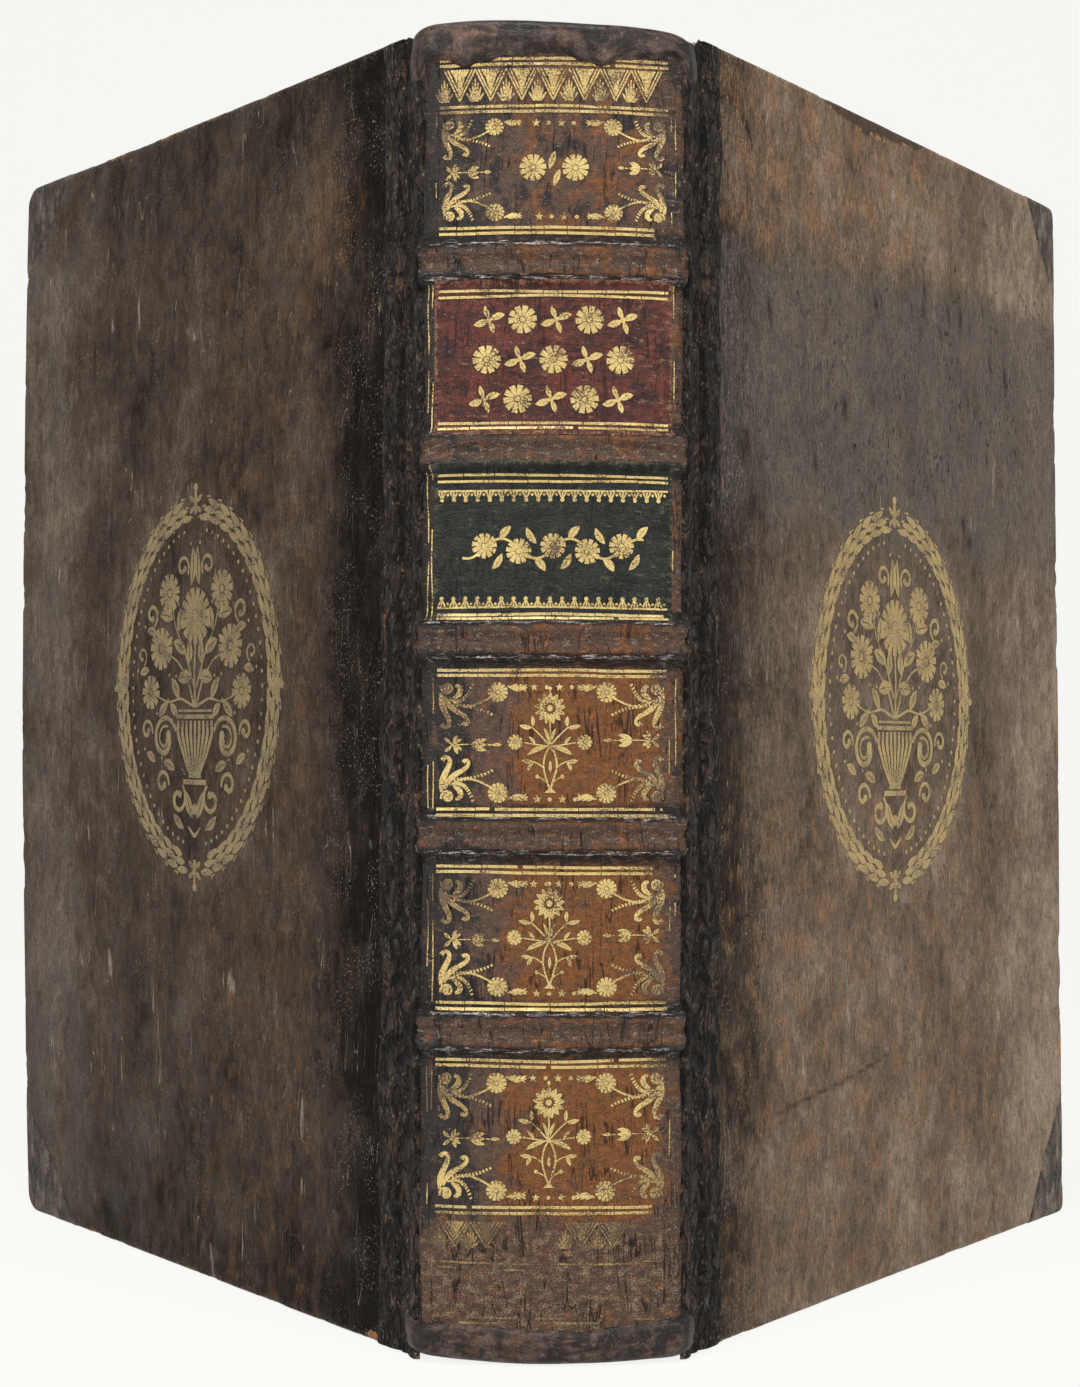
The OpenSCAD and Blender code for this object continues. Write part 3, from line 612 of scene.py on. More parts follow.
@dataclass(frozen=True)
class SpineCalf:
    """Old polished calf of the back: brown, stained black, crackled and rubbed, with painted shade on the
    bands' flanks, painted glints among the pale specks and a painted highlight along the bands' edges.
    """

    black: Colour = srgb(29, 26, 24)
    body: Colour = srgb(73, 54, 43)
    amber: Colour = srgb(100, 60, 25)
    spot: Colour = srgb(128, 72, 34)
    # Pale specks: partly dirt, partly painted glints of the grain.
    dust_and_glints: Colour = srgb(148, 131, 116)
    scuffed: Colour = srgb(142, 120, 92)
    # Colour of the painted highlight along the edges of the bands.
    polish: Colour = srgb(184, 174, 168)

    def build(self) -> bpy.types.Material:
        """The finish."""
        b = NodeBoard("spine_calf")
        flank, worn, ridge, tail = (b.mask(name) for name in ("flank", "worn", "ridge", "tail"))
        mottle = b.swing(1.7, 1.5, 2, 1.0)
        speck = b.swing(0.42, 0.36, 3, 1.0, 2.0)
        amber = (b.mask("amber") + b.swing(6, 8, 1, 2.0) + mottle * 0.6).step(0.2, 0.95)
        black = (b.mask("black") + b.swing(5, 7, 4, 1.9) + mottle * 0.6).step(0.36, 0.6)
        colour = b.mix(amber, self.body, self.amber)
        spots = (b.noise(3.4, 2.1, 5, 3) + 0.05 * worn).step(0.65, 0.7)
        colour = b.mix(spots * (0.35 + 0.2 * worn), colour, self.spot)
        colour = b.mix(black * 0.88, colour, self.black)
        # Painted shade: the flanks of the bands are darkened towards black.
        shadow = (flank + b.swing(4, 1.3, 6, 2.0)).step(0.25, 0.85)
        colour = b.mix(shadow * 0.8, colour, self.black)
        # Pale specks of dirt, partly painted glints, most on worn, black and flank places.
        dust_and_glints = worn * 0.55 + flank * 0.2 + black * 0.14 + b.swing(2.4, 0.9, 7, 2.6) + speck * 1.6
        dust_and_glints = dust_and_glints.step(0.5, 1.15)
        colour = b.mix(dust_and_glints * 0.5, colour, self.dust_and_glints)
        scuffs = (tail * 0.5 + b.swing(3.2, 2.0, 13, 2.2, 5.0) + speck * 1.4).step(0.42, 1.0) * tail
        colour = b.mix(scuffs * 0.4, colour, self.scuffed)
        # Painted highlight: a pale streak along the edges of each band.
        shine = (ridge + b.swing(4.5, 0.6, 14, 2.6) + b.swing(1.3, 0.35, 15, 1.2)).step(0.75, 1.1)
        colour = b.mix(shine * 0.75, colour, self.polish)
        network = b.crack(3.4, 2.2, 8, 0.055) * (flank * 0.9 + worn * 0.3).least(1.0)
        creases = b.crack(13, 1.5, 9, 0.06) * (flank + worn * 0.45 + ridge * 0.4).least(1.0)
        splits = b.crack(2.6, 30, 10, 0.03, 2.0) * b.noise(9, 11, 11, 3).step(0.47, 0.56)
        cracks = network.most(creases).most(splits * 0.9)
        colour = b.shade(colour, (1 + mottle * 1.3 + speck * 1.7).most(0.25) * (1 - 0.8 * cracks))
        height = mottle + speck * 0.9 - cracks * 0.5 + b.swing(9, 0.8, 12, 1.3) * (flank + ridge + 0.3 * worn)
        rough = 0.56 - 0.26 * flank - 0.1 * ridge + 0.2 * tail - speck * 0.6 + 0.25 * cracks
        return b.dress(
            Base_Color=colour,
            Roughness=rough.most(0.2),
            Normal=b.bump(height, 0.42, 0.9),
            Specular_IOR_Level=0.26,
        )


@dataclass(frozen=True)
class BoardCalf:
    """Worn calf of one cover, with upright fibres, dark flecks and pale scratches."""

    name: str
    deep: Colour
    body: Colour
    pale: Colour
    warm: Colour
    # Grey tint: on the front cover's upper part a painted sheen, elsewhere a tone of the leather.
    cool: Colour
    flecks: float
    shift: float
    scratched: Colour = srgb(150, 138, 124)
    flaked: Colour = srgb(60, 50, 43)
    bare: Colour = srgb(154, 112, 76)

    def build(self) -> bpy.types.Material:
        """The finish."""
        b = NodeBoard(self.name)
        k = self.shift
        cloud = b.swing(26, 36, k + 1, 1.0, 5.0)
        streak = b.swing(3.5, 22, k + 3, 1.0, bend=0.5)
        fibre = b.swing(0.8, 2.9, k + 2, 1.0, bend=0.6)
        fine = b.swing(0.5, 0.9, k + 4, 1.0, 3.0)
        patchy = b.swing(4, 6.5, k + 15, 1.0, 3.0, bend=0.6)
        tone = b.mask("tone") + cloud * 0.9 + streak * 0.3 + patchy * 0.55
        colour = b.mix(tone.step(-0.1, 0.6), self.deep, self.body)
        colour = b.mix(tone.step(0.45, 1.15), colour, self.pale)
        warm = (b.mask("warm") + b.swing(7, 9, k + 5, 1.5) + fibre * 0.5).step(0.2, 1.0)
        colour = b.mix(warm * 0.75, colour, self.warm)
        # Grey tint, partly painted sheen.
        cool = (b.mask("cool") + b.swing(14, 20, k + 6, 2.2)).step(0.15, 1.0)
        colour = b.mix(cool * 0.6, colour, self.cool)
        crowd = (b.mask("flecked") + b.swing(17, 22, k + 8, 2.0)).step(0.3, 0.8)
        fleck = (b.noise(1.35, 3.4, k + 7, 2, 0.5, 0.4).step(0.62, 0.7) * crowd).most(b.mask("dent"))
        speck = b.noise(0.55, 0.8, k + 9, 1).step(0.66, 0.74) * b.noise(12, 20, k + 10, 3).step(0.42, 0.62)
        hair = b.crack(4.5, 46, k + 11, 0.006, 1.0) * b.noise(13, 17, k + 12, 3).step(0.52, 0.6)
        light_speck = (speck * (0.25 + 0.5 * b.mask("crackle"))).most(hair * 0.45)
        colour = b.mix(light_speck, colour, self.scratched)
        rub = (b.mask("rub") + fine * 2.0).step(0.4, 0.85)
        colour = b.mix(rub * 0.55, colour, self.pale)
        colour = b.mix((b.mask("strip") + fine * 1.4).step(0.36, 0.64) * 0.8, colour, self.flaked)
        colour = b.mix((b.mask("bare") + fine * 1.4).step(0.42, 0.62) * 0.85, colour, self.bare)
        crack = (b.mask("crackle") + 0.12) * b.crack(1.5, 7.0, k + 14, 0.05)
        light = (1 + fibre * 1.5 + fine * 1.3 + patchy * 0.35).most(0.3)
        colour = b.shade(colour, light * (1 - 0.62 * crack) * (1 - self.flecks * fleck))
        height = fibre * 0.8 + fine * 0.6 - fleck * 0.35 - crack * 0.45 + streak * 0.5 + patchy * 0.6
        return b.dress(
            Base_Color=colour,
            Roughness=(0.6 - cloud * 0.3 + fibre * 0.4 + 0.2 * fleck - 0.08 * cool).most(0.3),
            Normal=b.bump(height, 0.3, 0.8),
            Specular_IOR_Level=0.05,
        )


@dataclass(frozen=True)
class RepairCalf:
    """Dark repair leather: smooth on the caps, torn and fibrous along the joints."""

    name: str
    across: float
    up: float
    torn: float
    gloss: float
    black: Colour = srgb(17, 14, 12)
    body: Colour = srgb(48, 40, 34)
    warm: Colour = srgb(80, 56, 42)
    fibre: Colour = srgb(140, 124, 106)
    flaked: Colour = srgb(140, 92, 58)

    def build(self) -> bpy.types.Material:
        """The finish."""
        b = NodeBoard(self.name)
        cloud = b.swing(5, 8, 21, 1.0, 5.0)
        grain = b.swing(self.across, self.up, 23, 1.0, bend=0.5)
        fine = b.swing(0.55, 0.8, 22, 1.0, 3.0)
        colour = b.mix((0.45 + cloud * 2.4 + grain * 1.2).step(0.2, 1.0), self.black, self.body)
        colour = b.mix((b.swing(7, 17, 24, 2.6) + grain * 0.7 + 0.2).step(0.35, 0.9) * 0.6, colour, self.warm)
        thread = b.crack(0.8 + self.across * 0.4, 3.4, 26, 0.03) * b.noise(2.5, 5, 27, 3).step(0.48, 0.62)
        flake = b.noise(1.0, 1.6, 28, 2).step(0.66, 0.72) * b.noise(5, 8, 29, 2).step(0.5, 0.6)
        colour = b.mix(thread * (0.12 + 0.3 * self.torn), colour, self.fibre)
        colour = b.mix(flake * self.torn * 0.55, colour, self.flaked)
        seams = b.crack(self.across * 2.2, self.up * 2.4, 25, 0.06) * (0.15 + 0.85 * self.torn)
        colour = b.shade(colour, (1 + grain * 1.4 + fine * 1.5).most(0.25) * (1 - 0.75 * seams))
        height = grain * (0.5 + self.torn) + fine * 0.5 + cloud * 0.8 - seams * 0.7 + thread * 0.3 * self.torn
        return b.dress(
            Base_Color=colour,
            Roughness=(0.62 - self.gloss * 0.3 + cloud * 0.3 - fine * 0.4 + 0.2 * seams).most(0.2),
            Normal=b.bump(height, 0.25 + 0.35 * self.torn, 0.9),
            Specular_IOR_Level=0.04 + 0.28 * self.gloss,
        )


@dataclass(frozen=True)
class LabelSkin:
    """Dyed goatskin of a label, grained and rubbed at its edges."""

    name: str
    deep: Colour
    dye: Colour
    faded: Colour
    grain: float

    def build(self) -> bpy.types.Material:
        """The finish."""
        b = NodeBoard(self.name)
        cloud = b.swing(7, 6, 31, 1.0, 5.0)
        mottle = b.swing(1.5, 1.3, 38, 1.0)
        fine = b.swing(0.5, 0.45, 32, 1.0, 3.0)
        pebbles = b.cells(0.95, 0.95, 33)
        colour = b.mix((0.5 + cloud * 2.0 + mottle).step(0.1, 0.9), self.deep, self.dye)
        rub = (b.mask("rub") + b.swing(3, 1.3, 34, 2.6) + fine).step(0.4, 0.95)
        colour = b.mix(rub * 0.7, colour, self.faded)
        cut = b.crack(2.4, 26, 36, 0.03, 2.0) * b.noise(9, 9, 37, 3).step(0.48, 0.56)
        crease = b.crack(11, 2.2, 39, 0.03, 2.0) * b.noise(8, 5, 40, 3).step(0.5, 0.58)
        breaks = cut.most(crease * 0.8)
        valley = 1 - pebbles.step(0.0, 0.2)
        light = (1 + mottle * 0.9 + fine * 1.6).most(0.3) * (1 - 0.45 * self.grain * valley)
        height = pebbles.step(0.0, 0.4) * self.grain * 0.4 + fine * 0.7 + mottle * 0.5 - breaks * 0.5
        return b.dress(
            Base_Color=b.shade(colour, light * (1 - 0.7 * breaks)),
            Roughness=(0.46 + cloud * 0.4 + 0.15 * rub).most(0.25),
            Normal=b.bump(height, 0.32, 0.9),
            Specular_IOR_Level=0.25,
        )


@dataclass(frozen=True)
class GoldLeaf:
    """Gold leaf, bright where it holds and rubbed down to the leather."""

    name: str
    bright: Colour
    dull: Colour
    ground: Colour
    loss: float
    shine: float

    def build(self) -> bpy.types.Material:
        """The finish."""
        b = NodeBoard(self.name)
        cloud = b.swing(6, 6, 41, 1.0)
        fine = b.swing(0.55, 0.5, 42, 1.0)
        tiny = b.swing(0.28, 0.28, 43, 1.0, 2.0)
        rub = b.mask("rub")
        lost = (self.loss + cloud * 1.5 + fine * 1.6 + rub * 0.36).step(0.26, 0.5)
        colour = b.mix((0.42 + cloud + fine * 1.8 + tiny + rub * 0.45).step(0.1, 0.9), self.bright, self.dull)
        colour = b.mix((lost * 0.85).most((rub - 0.35).most(0.0) * 0.4), colour, self.ground)
        return b.dress(
            Base_Color=b.shade(colour, (1 + tiny * 1.2).most(0.4)),
            Metallic=self.shine * (1 - lost),
            Roughness=(0.4 + fine * 0.6 + 0.25 * lost).most(0.2),
            Normal=b.bump(fine + tiny * 0.5 + cloud * 0.5, 0.12, 0.8),
            Specular_IOR_Level=0.5,
        )


@dataclass(frozen=True)
class PageEdges:
    """Edges of the leaves: fine strata, toned and dusty at the head."""

    light: Colour = srgb(206, 186, 148)
    dark: Colour = srgb(138, 112, 76)

    def build(self) -> bpy.types.Material:
        """The finish."""
        b = NodeBoard("page_edges")
        leaves = b.noise(0.16, 190, 51, 3, 0.6, solid=True)
        gatherings = b.noise(2.6, 260, 52, 2, 0.5, solid=True)
        dirt = b.noise(28, 24, 53, 5, 0.65, solid=True)
        share = (leaves * 0.55 + gatherings * 0.35 + dirt * 0.6).step(0.42, 1.05)
        colour = b.mix(share, self.light, self.dark)
        colour = b.shade(colour, 0.72 + 0.5 * leaves)
        return b.dress(
            Base_Color=colour,
            Roughness=0.86 + 0.1 * (dirt - 0.5),
            Normal=b.bump(leaves + gatherings * 1.5, 0.25, 0.9),
            Specular_IOR_Level=0.2,
        )


@dataclass(frozen=True)
class OldPaper:
    """Rag paper of the endleaves: toned, with fibres, faint laid lines and spots."""

    sheet: Colour = srgb(212, 196, 164)
    toned: Colour = srgb(168, 140, 100)
    spotted: Colour = srgb(128, 92, 56)

    def build(self) -> bpy.types.Material:
        """The finish."""
        b = NodeBoard("endpaper")
        cloud = b.noise(34, 40, 61, 5, 0.62, solid=True)
        fibre = b.noise(0.9, 0.7, 62, 4, 0.7, solid=True)
        laid = b.noise(300, 1.1, 63, 1, 0.4, solid=True)
        spots = b.noise(2.4, 2.4, 64, 2, 0.5, solid=True).step(0.74, 0.82)
        colour = b.mix((cloud + (fibre - 0.5) * 0.4).step(0.35, 0.8), self.sheet, self.toned)
        colour = b.mix(spots * 0.5, colour, self.spotted)
        colour = b.shade(colour, 0.9 + 0.12 * laid + 0.08 * fibre)
        return b.dress(
            Base_Color=colour,
            Roughness=0.82 + 0.1 * (fibre - 0.5),
            Normal=b.bump(fibre + laid * 0.6, 0.06, 0.6),
            Specular_IOR_Level=0.25,
        )


@dataclass(frozen=True)
class PlainFibre:
    """Board, parchment, cord or thread: a matt stuff with fibres of one size and direction."""

    name: str
    light: Colour
    dark: Colour
    across: float
    up: float
    relief: float = 0.2

    def build(self) -> bpy.types.Material:
        """The finish."""
        b = NodeBoard(self.name)
        cloud = b.noise(9, 9, 71, 4, 0.6, solid=True)
        fibre = b.noise(self.across, self.up, 72, 4, 0.65, 0.4, solid=True)
        colour = b.mix((fibre * 0.8 + cloud * 0.4).step(0.4, 0.85), self.light, self.dark)
        return b.dress(
            Base_Color=b.shade(colour, 0.75 + 0.5 * fibre),
            Roughness=0.85 + 0.12 * (cloud - 0.5),
            Normal=b.bump(fibre, self.relief, 0.8),
            Specular_IOR_Level=0.2,
        )


@dataclass(frozen=True)
class BandedThread:
    """Thread wound closely over an endband's core."""

    light: Colour = srgb(176, 150, 108)
    dark: Colour = srgb(88, 62, 44)

    def build(self) -> bpy.types.Material:
        """The finish."""
        b = NodeBoard("endband_thread")
        source = b.spread(0.9, 4.0, 81, solid=True)
        wave = b.node(
            "ShaderNodeTexWave",
            {"wave_type": "BANDS", "bands_direction": "X"},
            {"Vector": source, "Scale": 0.3, "Distortion": 0.6},
        )
        ridge = Term(b, wave.outputs["Fac"])
        dirt = b.noise(3, 3, 82, 4, 0.6, solid=True)
        colour = b.mix((dirt * 1.1 + (1 - ridge) * 0.4).step(0.4, 0.95), self.light, self.dark)
        return b.dress(
            Base_Color=colour,
            Roughness=0.78 + 0.1 * (dirt - 0.5),
            Normal=b.bump(ridge, 0.3, 0.9),
            Specular_IOR_Level=0.25,
        )


# Spine.


@dataclass
class SpineLeather:
    """The old leather over the back, moulded on the bands."""

    form: SpineForm
    low: float = 4.5
    high: float = 326.5
    thick: float = 0.9
    step_s: float = 0.72
    step_z: float = 0.52

    def skin(self) -> Skin:
        """Grid over the outer face with its rim turned in."""
        end = self.form.side_end
        columns = round(2 * end / self.step_s) + 1
        rows = round((self.high - self.low) / self.step_z) + 1
        s = np.linspace(-end, end, columns)
        z = np.linspace(self.low, self.high, rows)
        S, Z = np.meshgrid(np.concatenate([[-end], s, [end]]), np.concatenate([[self.low], z, [self.high]]))
        rise = self.form.relief(S, Z)
        rim = np.ones(rise.shape, bool)
        rim[1:-1, 1:-1] = False
        rise = rise - np.where(rim, self.thick, 0)
        return Skin.sheet(self.form.place(S, Z, rise), S, Z, **self.stains(S, Z))

    def stains(self, s: Array, z: Array) -> dict[str, Array]:
        """Where the leather is black, amber or rubbed, on the flank of a band, where painted shade goes, or
        along a band's edge, where a painted highlight goes.
        """
        gap = np.min([np.abs(z - middle) for middle in self.form.bands], axis=0)
        crest = 1 - smooth((gap - 1.6) / 2.6)
        flank = smooth((gap - 2.6) / 1.6) * (1 - smooth((gap - 5.4) / 3.6))
        tail = 1 - smooth((z - 30) / 10)
        head = smooth((z - 276) / 8)
        left = 1 - smooth((s + 27) / 17)
        right = smooth((s - 22) / 9)
        black = 0.8 * left * (1 - 0.4 * head) + 0.16 * right + 0.3 * head
        black = black * (1 - 0.8 * tail) * (1 - 0.5 * crest)
        amber = smooth((s + 20) / 18) * (1 - 0.75 * right) * (1 - tail)
        amber = amber * (1 - 0.75 * crest) * (1 - 0.55 * head)
        worn = np.maximum(0.6 * crest, 0.45 * right)
        # Edges of the bands, where the finish paints a highlight.
        edges = [np.abs(np.abs(z - middle) - 4.4) for middle in self.form.bands]
        ridge = np.exp(-((np.min(edges, axis=0) / 0.75) ** 2)) * (1 - smooth((np.abs(s) - 29) / 4))
        return {"black": black, "amber": amber, "worn": worn, "flank": flank, "ridge": ridge, "tail": tail}

    def build(self, material: bpy.types.Material) -> bpy.types.Object:
        """Makes the leather in place of its CAD node."""
        return put(self.skin().make("spine_leather_skin", material), "book", "spine_leather", "spine_calf")


@dataclass
class SpineLabel:
    """A thin leather label laid between two bands, following the back."""

    form: SpineForm
    name: str
    node: str
    slot: str
    low: float
    high: float
    half: float = 29.9
    thick: float = 0.35
    pared: float = 0.8
    fineness: tuple[int, int] = (90, 82)

    def inset(self, s: Array, z: Array) -> Array:
        """Distance inside the label's nearest edge."""
        return np.minimum(self.half - np.abs(s), np.minimum(z - self.low, self.high - z))

    def lift(self, s: Array, z: Array) -> Array:
        """Rise of the label's face above the leather, pared to nothing at its edges."""
        ragged = 0.5 * (value_noise(s / 3, z / 3, 12) - 0.5)
        return self.thick * smooth((self.inset(s, z) + 0.2 + 0.3 * ragged) / self.pared) - 0.02

    def rub(self, s: Array, z: Array) -> Array:
        """Wear along the label's edges and on its right half."""
        edge = 0.75 * (1 - smooth(self.inset(s, z) / 2.2))
        return np.maximum(edge, 0.12 + 0.1 * smooth((s - 10) / 16))

    def build(self, material: bpy.types.Material) -> bpy.types.Object:
        """Makes the label in place of its CAD node."""
        columns, rows = self.fineness
        across = np.linspace(-self.half, self.half, columns)
        S, Z = np.meshgrid(across, np.linspace(self.low, self.high, rows))
        points = self.form.place(S, Z, self.form.relief(S, Z) + self.lift(S, Z))
        piece = Skin.sheet(points, S, Z, rub=self.rub(S, Z)).make(self.name, material)
        return put(piece, "book", self.node, self.slot)


@dataclass
class SpineCap:
    """The repair leather turned over the head or the tail of the spine."""

    form: SpineForm
    name: str
    node: str
    head: bool
    top: float
    lap: float
    thick: float = 0.85
    top_round: float = 2.6
    lip_depth: float = 7.6
    lip_drop: float = 2.4
    columns: int = 130
    map_column: int = 60
    head_map_start: float = 300.0

    def lap_edge(self, s: Array) -> Array:
        """Height above the tail of the torn edge that lies on the spine leather."""
        if self.head:
            scallops = 1.9 * np.sin(s / 5.3 + 2.3) + 0.8 * np.sin(s / 2.6 + 1.0) + 0.5 * np.sin(s / 1.1)
            scallops = 0.75 * scallops * (1 - smooth((np.abs(s) - 29) / 4))
            side = 4.5 * smooth((np.abs(s) - 32.5) / 2.5)
            return self.lap + 0.9 + scallops - side
        return self.lap + 1.6 * (value_noise(s / 8, 4.0, 6) - 0.5) + 1.8 * (s / 30) ** 2

    def crown(self, s: Array) -> Array:
        """Height of the cap's rounded top, drooping towards the joints."""
        t = s / self.form.side_end
        if self.head:
            return self.top - 1.3 * t - 2.4 * t**4 + 0.35 * (value_noise(s / 9, 1.0, 3) - 0.5)
        return self.top + 3.0 * t**2 * np.where(t > 0, 0.45, 0.62) + 0.2 * value_noise(s / 6, 2.0, 3)

    def skin(self) -> Skin:
        """Section from the torn edge over the rounded top to the lip, carried across."""
        end = self.form.side_end
        s = np.linspace(-end, end, self.columns)
        sign = 1 if self.head else -1
        crown, edge = self.crown(s), self.lap_edge(s)
        rows: list[tuple[Array, Array]] = [(edge + 0 * s, -0.35 + 0 * s)]
        shoulder = crown - sign * self.top_round
        for t in np.linspace(0, 1, 16):
            height = edge + (shoulder - edge) * t
            feather = smooth(np.abs(height - edge) / 1.2)
            base = self.form.relief(s, height) * (1 - 0.8 * t)
            bulge = 0.5 * sin(pi * t) + 0.25 * (fractal(s / 7, height / 5, 77, 3) - 0.5)
            rows.append((height, base + self.thick * feather + bulge * feather))
        outer = self.thick + 0.1
        for a in np.radians(np.linspace(10, 90, 8)):
            rise = outer - self.top_round * (1 - cos(a))
            rows.append((shoulder + sign * self.top_round * sin(a), rise + 0 * s))
        for t in np.linspace(0.15, 1, 7):
            rise = outer - self.top_round - self.lip_depth * t * 0.72
            rows.append((crown - sign * 0.5 * t * t, rise + 0 * s))
        height, rise = rows[-1]
        for drop, change in ((0.4, -0.4), (1.0, -0.1), (1.0, 1.2)):
            rows.append((height - sign * self.lip_drop * drop, rise + change))
        Z, rise = (np.array(values) for values in zip(*rows))
        S = np.broadcast_to(s, Z.shape)
        steps = np.hypot(np.diff(Z[:, self.map_column]), np.diff(rise[:, self.map_column]))
        along = np.concatenate([[0], np.cumsum(steps)]) + (self.head_map_start if self.head else 0)
        skin = Skin.sheet(self.form.place(S, Z, rise), S, np.broadcast_to(along[:, None], Z.shape))
        return skin if self.head else skin.flipped()

    def build(self, material: bpy.types.Material) -> bpy.types.Object:
        """Makes the cap in place of its CAD node."""
        return put(self.skin().make(self.name, material), "book", self.node, "repair_calf")


# Covers.


@dataclass
class RimStations:
    """Places along the border of a cover and the way outwards at each."""

    base: Array
    out: Array
    spread: Array
    mitre: Array


@dataclass
class Cover:
    """One board with its covering leather, corner patches and pastedown."""

    form: CoverForm
    start: float = 4.6
    step: float = 1.0
    turn_in: float = 18.0
    board_start: float = 1.0
    board_inset: float = 1.2
    board_top: float = 1.45
    board_under: float = 0.45
    paper_margin: float = 4.0
    patch_lift: float = 0.22
    head_patch: tuple[float, float] = (22.0, 31.0)
    tail_patch: tuple[float, float] = (26.0, 40.0)
    oval: tuple[float, float, float, float] = (103.4, 166.6, 46.4, 54.9)
    scratches: tuple[tuple[tuple[float, float], tuple[float, float], float], ...] = ()

    @property
    def word(self) -> str:
        """Name of this cover's side."""
        return self.form.side.word

    @property
    def body(self) -> str:
        """Name of the body that this cover is."""
        return f"{self.word}_cover"

    def stations(self) -> RimStations:
        """Places along the tail, round the two corners and along the head."""
        f, inset = self.form, self.form.rim_inset
        far, top = f.width - inset, f.height - inset
        along = np.linspace(self.start, far, round((far - self.start) / self.step) + 1)
        up = np.linspace(inset, top, round((top - inset) / self.step) + 1)
        rows = [(u, inset, -90.0, far - u) for u in along]
        rows += [(far, inset, a, 0.0) for a in np.linspace(-90, 0, 11)]
        rows += [(far, z, 0.0, min(z - inset, top - z)) for z in up]
        rows += [(far, top, a, 0.0) for a in np.linspace(0, 90, 11)]
        rows += [(u, top, 90.0, far - u) for u in along[::-1]]
        table = np.array(rows)
        angle = np.radians(table[:, 2])
        way = np.stack([np.cos(angle), np.sin(angle)], axis=-1)
        power = f.corner_power
        spread = (np.abs(way[:, 0]) ** power + np.abs(way[:, 1]) ** power) ** (-1 / power)
        return RimStations(table[:, :2], way, spread, table[:, 3])

    def section(self, deepest: float) -> list[tuple[float, float]]:
        """Section over the edge: inset from the edge and depth, from outside to inside."""
        f = self.form
        r = f.edge_round
        path = [(i, 0.0) for i in (f.rim_inset, 4.5, 3.0, 2.1)]
        path += [(r - r * sin(a), r - r * cos(a)) for a in np.linspace(0, pi / 2, 6)]
        path.append((0.0, f.thick / 2))
        low = f.thick - r
        path += [(r - r * cos(a), low + r * sin(a)) for a in np.linspace(0, pi / 2, 6)]
        path += [(i, f.thick) for i in (3.0, 6.0, 10.0, 14.0) if i < deepest]
        path += [(deepest, f.thick), (deepest + 0.2, f.thick - 0.5)]
        return path

    def rim_places(self, st: RimStations, inset: Array, depth: Array) -> tuple[Array, Array, Array]:
        """Places at an inset from the border at every station.

        Args:
            st: the stations.
            inset: inset from the edge, one row per station.
            depth: depth below the outer face, of the same shape.

        Returns:
            Distance from the hinge line, depth and height, each of that shape.
        """
        rim = self.form.rim_inset
        inset = np.minimum(inset, rim + st.mitre[:, None])
        reach = np.where(inset <= rim, (rim - inset) * st.spread[:, None], rim - inset)
        u = st.base[:, :1] + st.out[:, :1] * reach
        z = st.base[:, 1:] + st.out[:, 1:] * reach
        return u, depth, z

    def worn(self, u: Array, z: Array, inset: Array) -> Array:
        """Depth that wear has taken off the leather near the edges."""
        near = 1 - smooth(inset / 5)
        return near * 0.5 * smooth((fractal(u / 8, z / 8, self.form.seed + 9, 4) - 0.55) / 0.2)

    def leather(self, material: bpy.types.Material) -> bpy.types.Object:
        """The covering leather: outer face, edges and turn-ins."""
        f, rim = self.form, self.form.rim_inset
        u = np.linspace(self.start, f.width - rim, round((f.width - rim - self.start) / self.step) + 1)
        z = np.linspace(rim, f.height - rim, round((f.height - 2 * rim) / self.step) + 1)
        U, Z = np.meshgrid(u, z)
        inset = np.full_like(U, rim)
        depth = -f.relief(U, Z) + self.worn(U, Z, inset)
        face = Skin.sheet(f.place(U, depth, Z), U, Z, **self.stains(U, Z, inset))
        st = self.stations()
        path = self.section(self.turn_in)
        inset = np.array([[p[0] for p in path]] * len(st.base))
        depth = np.array([[p[1] for p in path]] * len(st.base))
        ru, rw, rz = self.rim_places(st, inset, depth)
        outer = np.array([1 - smooth(np.array(p[1] / f.thick * 1.4)) for p in path])[None, :]
        rw = rw - f.relief(ru, rz) * outer + self.worn(ru, rz, inset) * outer
        run = np.concatenate([[0], np.cumsum(np.hypot(np.diff(inset[0]), np.diff(depth[0])))])
        slack = (run - (rim - inset)) * 0.5
        map_u, map_z = ru + st.out[:, :1] * slack, rz + st.out[:, 1:] * slack
        band = Skin.sheet(f.place(ru, rw, rz), map_u, map_z, **self.stains(ru, rz, inset))
        skin = face.joined(band).welded()
        if f.side is Side.BACK:
            skin = skin.flipped()
        piece = skin.make(f"{self.word}_cover_leather", material)
        return put(piece, self.body, f"{self.word}_leather", f"{self.word}_calf")

    def stains(self, u: Array, z: Array, inset: Array) -> dict[str, Array]:
        """Tone and wear over the leather of this cover, with a painted sheen on the front and a painted shade
        line at its crease.

        Args:
            u: distance from the hinge line.
            z: height above the tail.
            inset: distance from the edge, where it is less than the rim.

        Returns:
            Named values for the finish, one for each point.
        """
        f = self.form
        near = 1 - smooth((u - 6) / 42)
        fore = smooth((u - 150) / 50)
        top, foot = smooth((z - 285) / 40), 1 - smooth((z - 8) / 55)
        edge = 1 - smooth(inset / 3.2)
        wear = fractal(u / 9, z / 9, f.seed + 9, 4)
        ring = self.oval_gap(u, z)
        if f.side is Side.FRONT:
            border = z - 281 - 0.06 * u + 12 * (fractal(u / 16, z / 30, 5, 4) - 0.5)
            head_warm = smooth((border + 6) / 17) * (1 - 0.5 * smooth((u - 110) / 50))
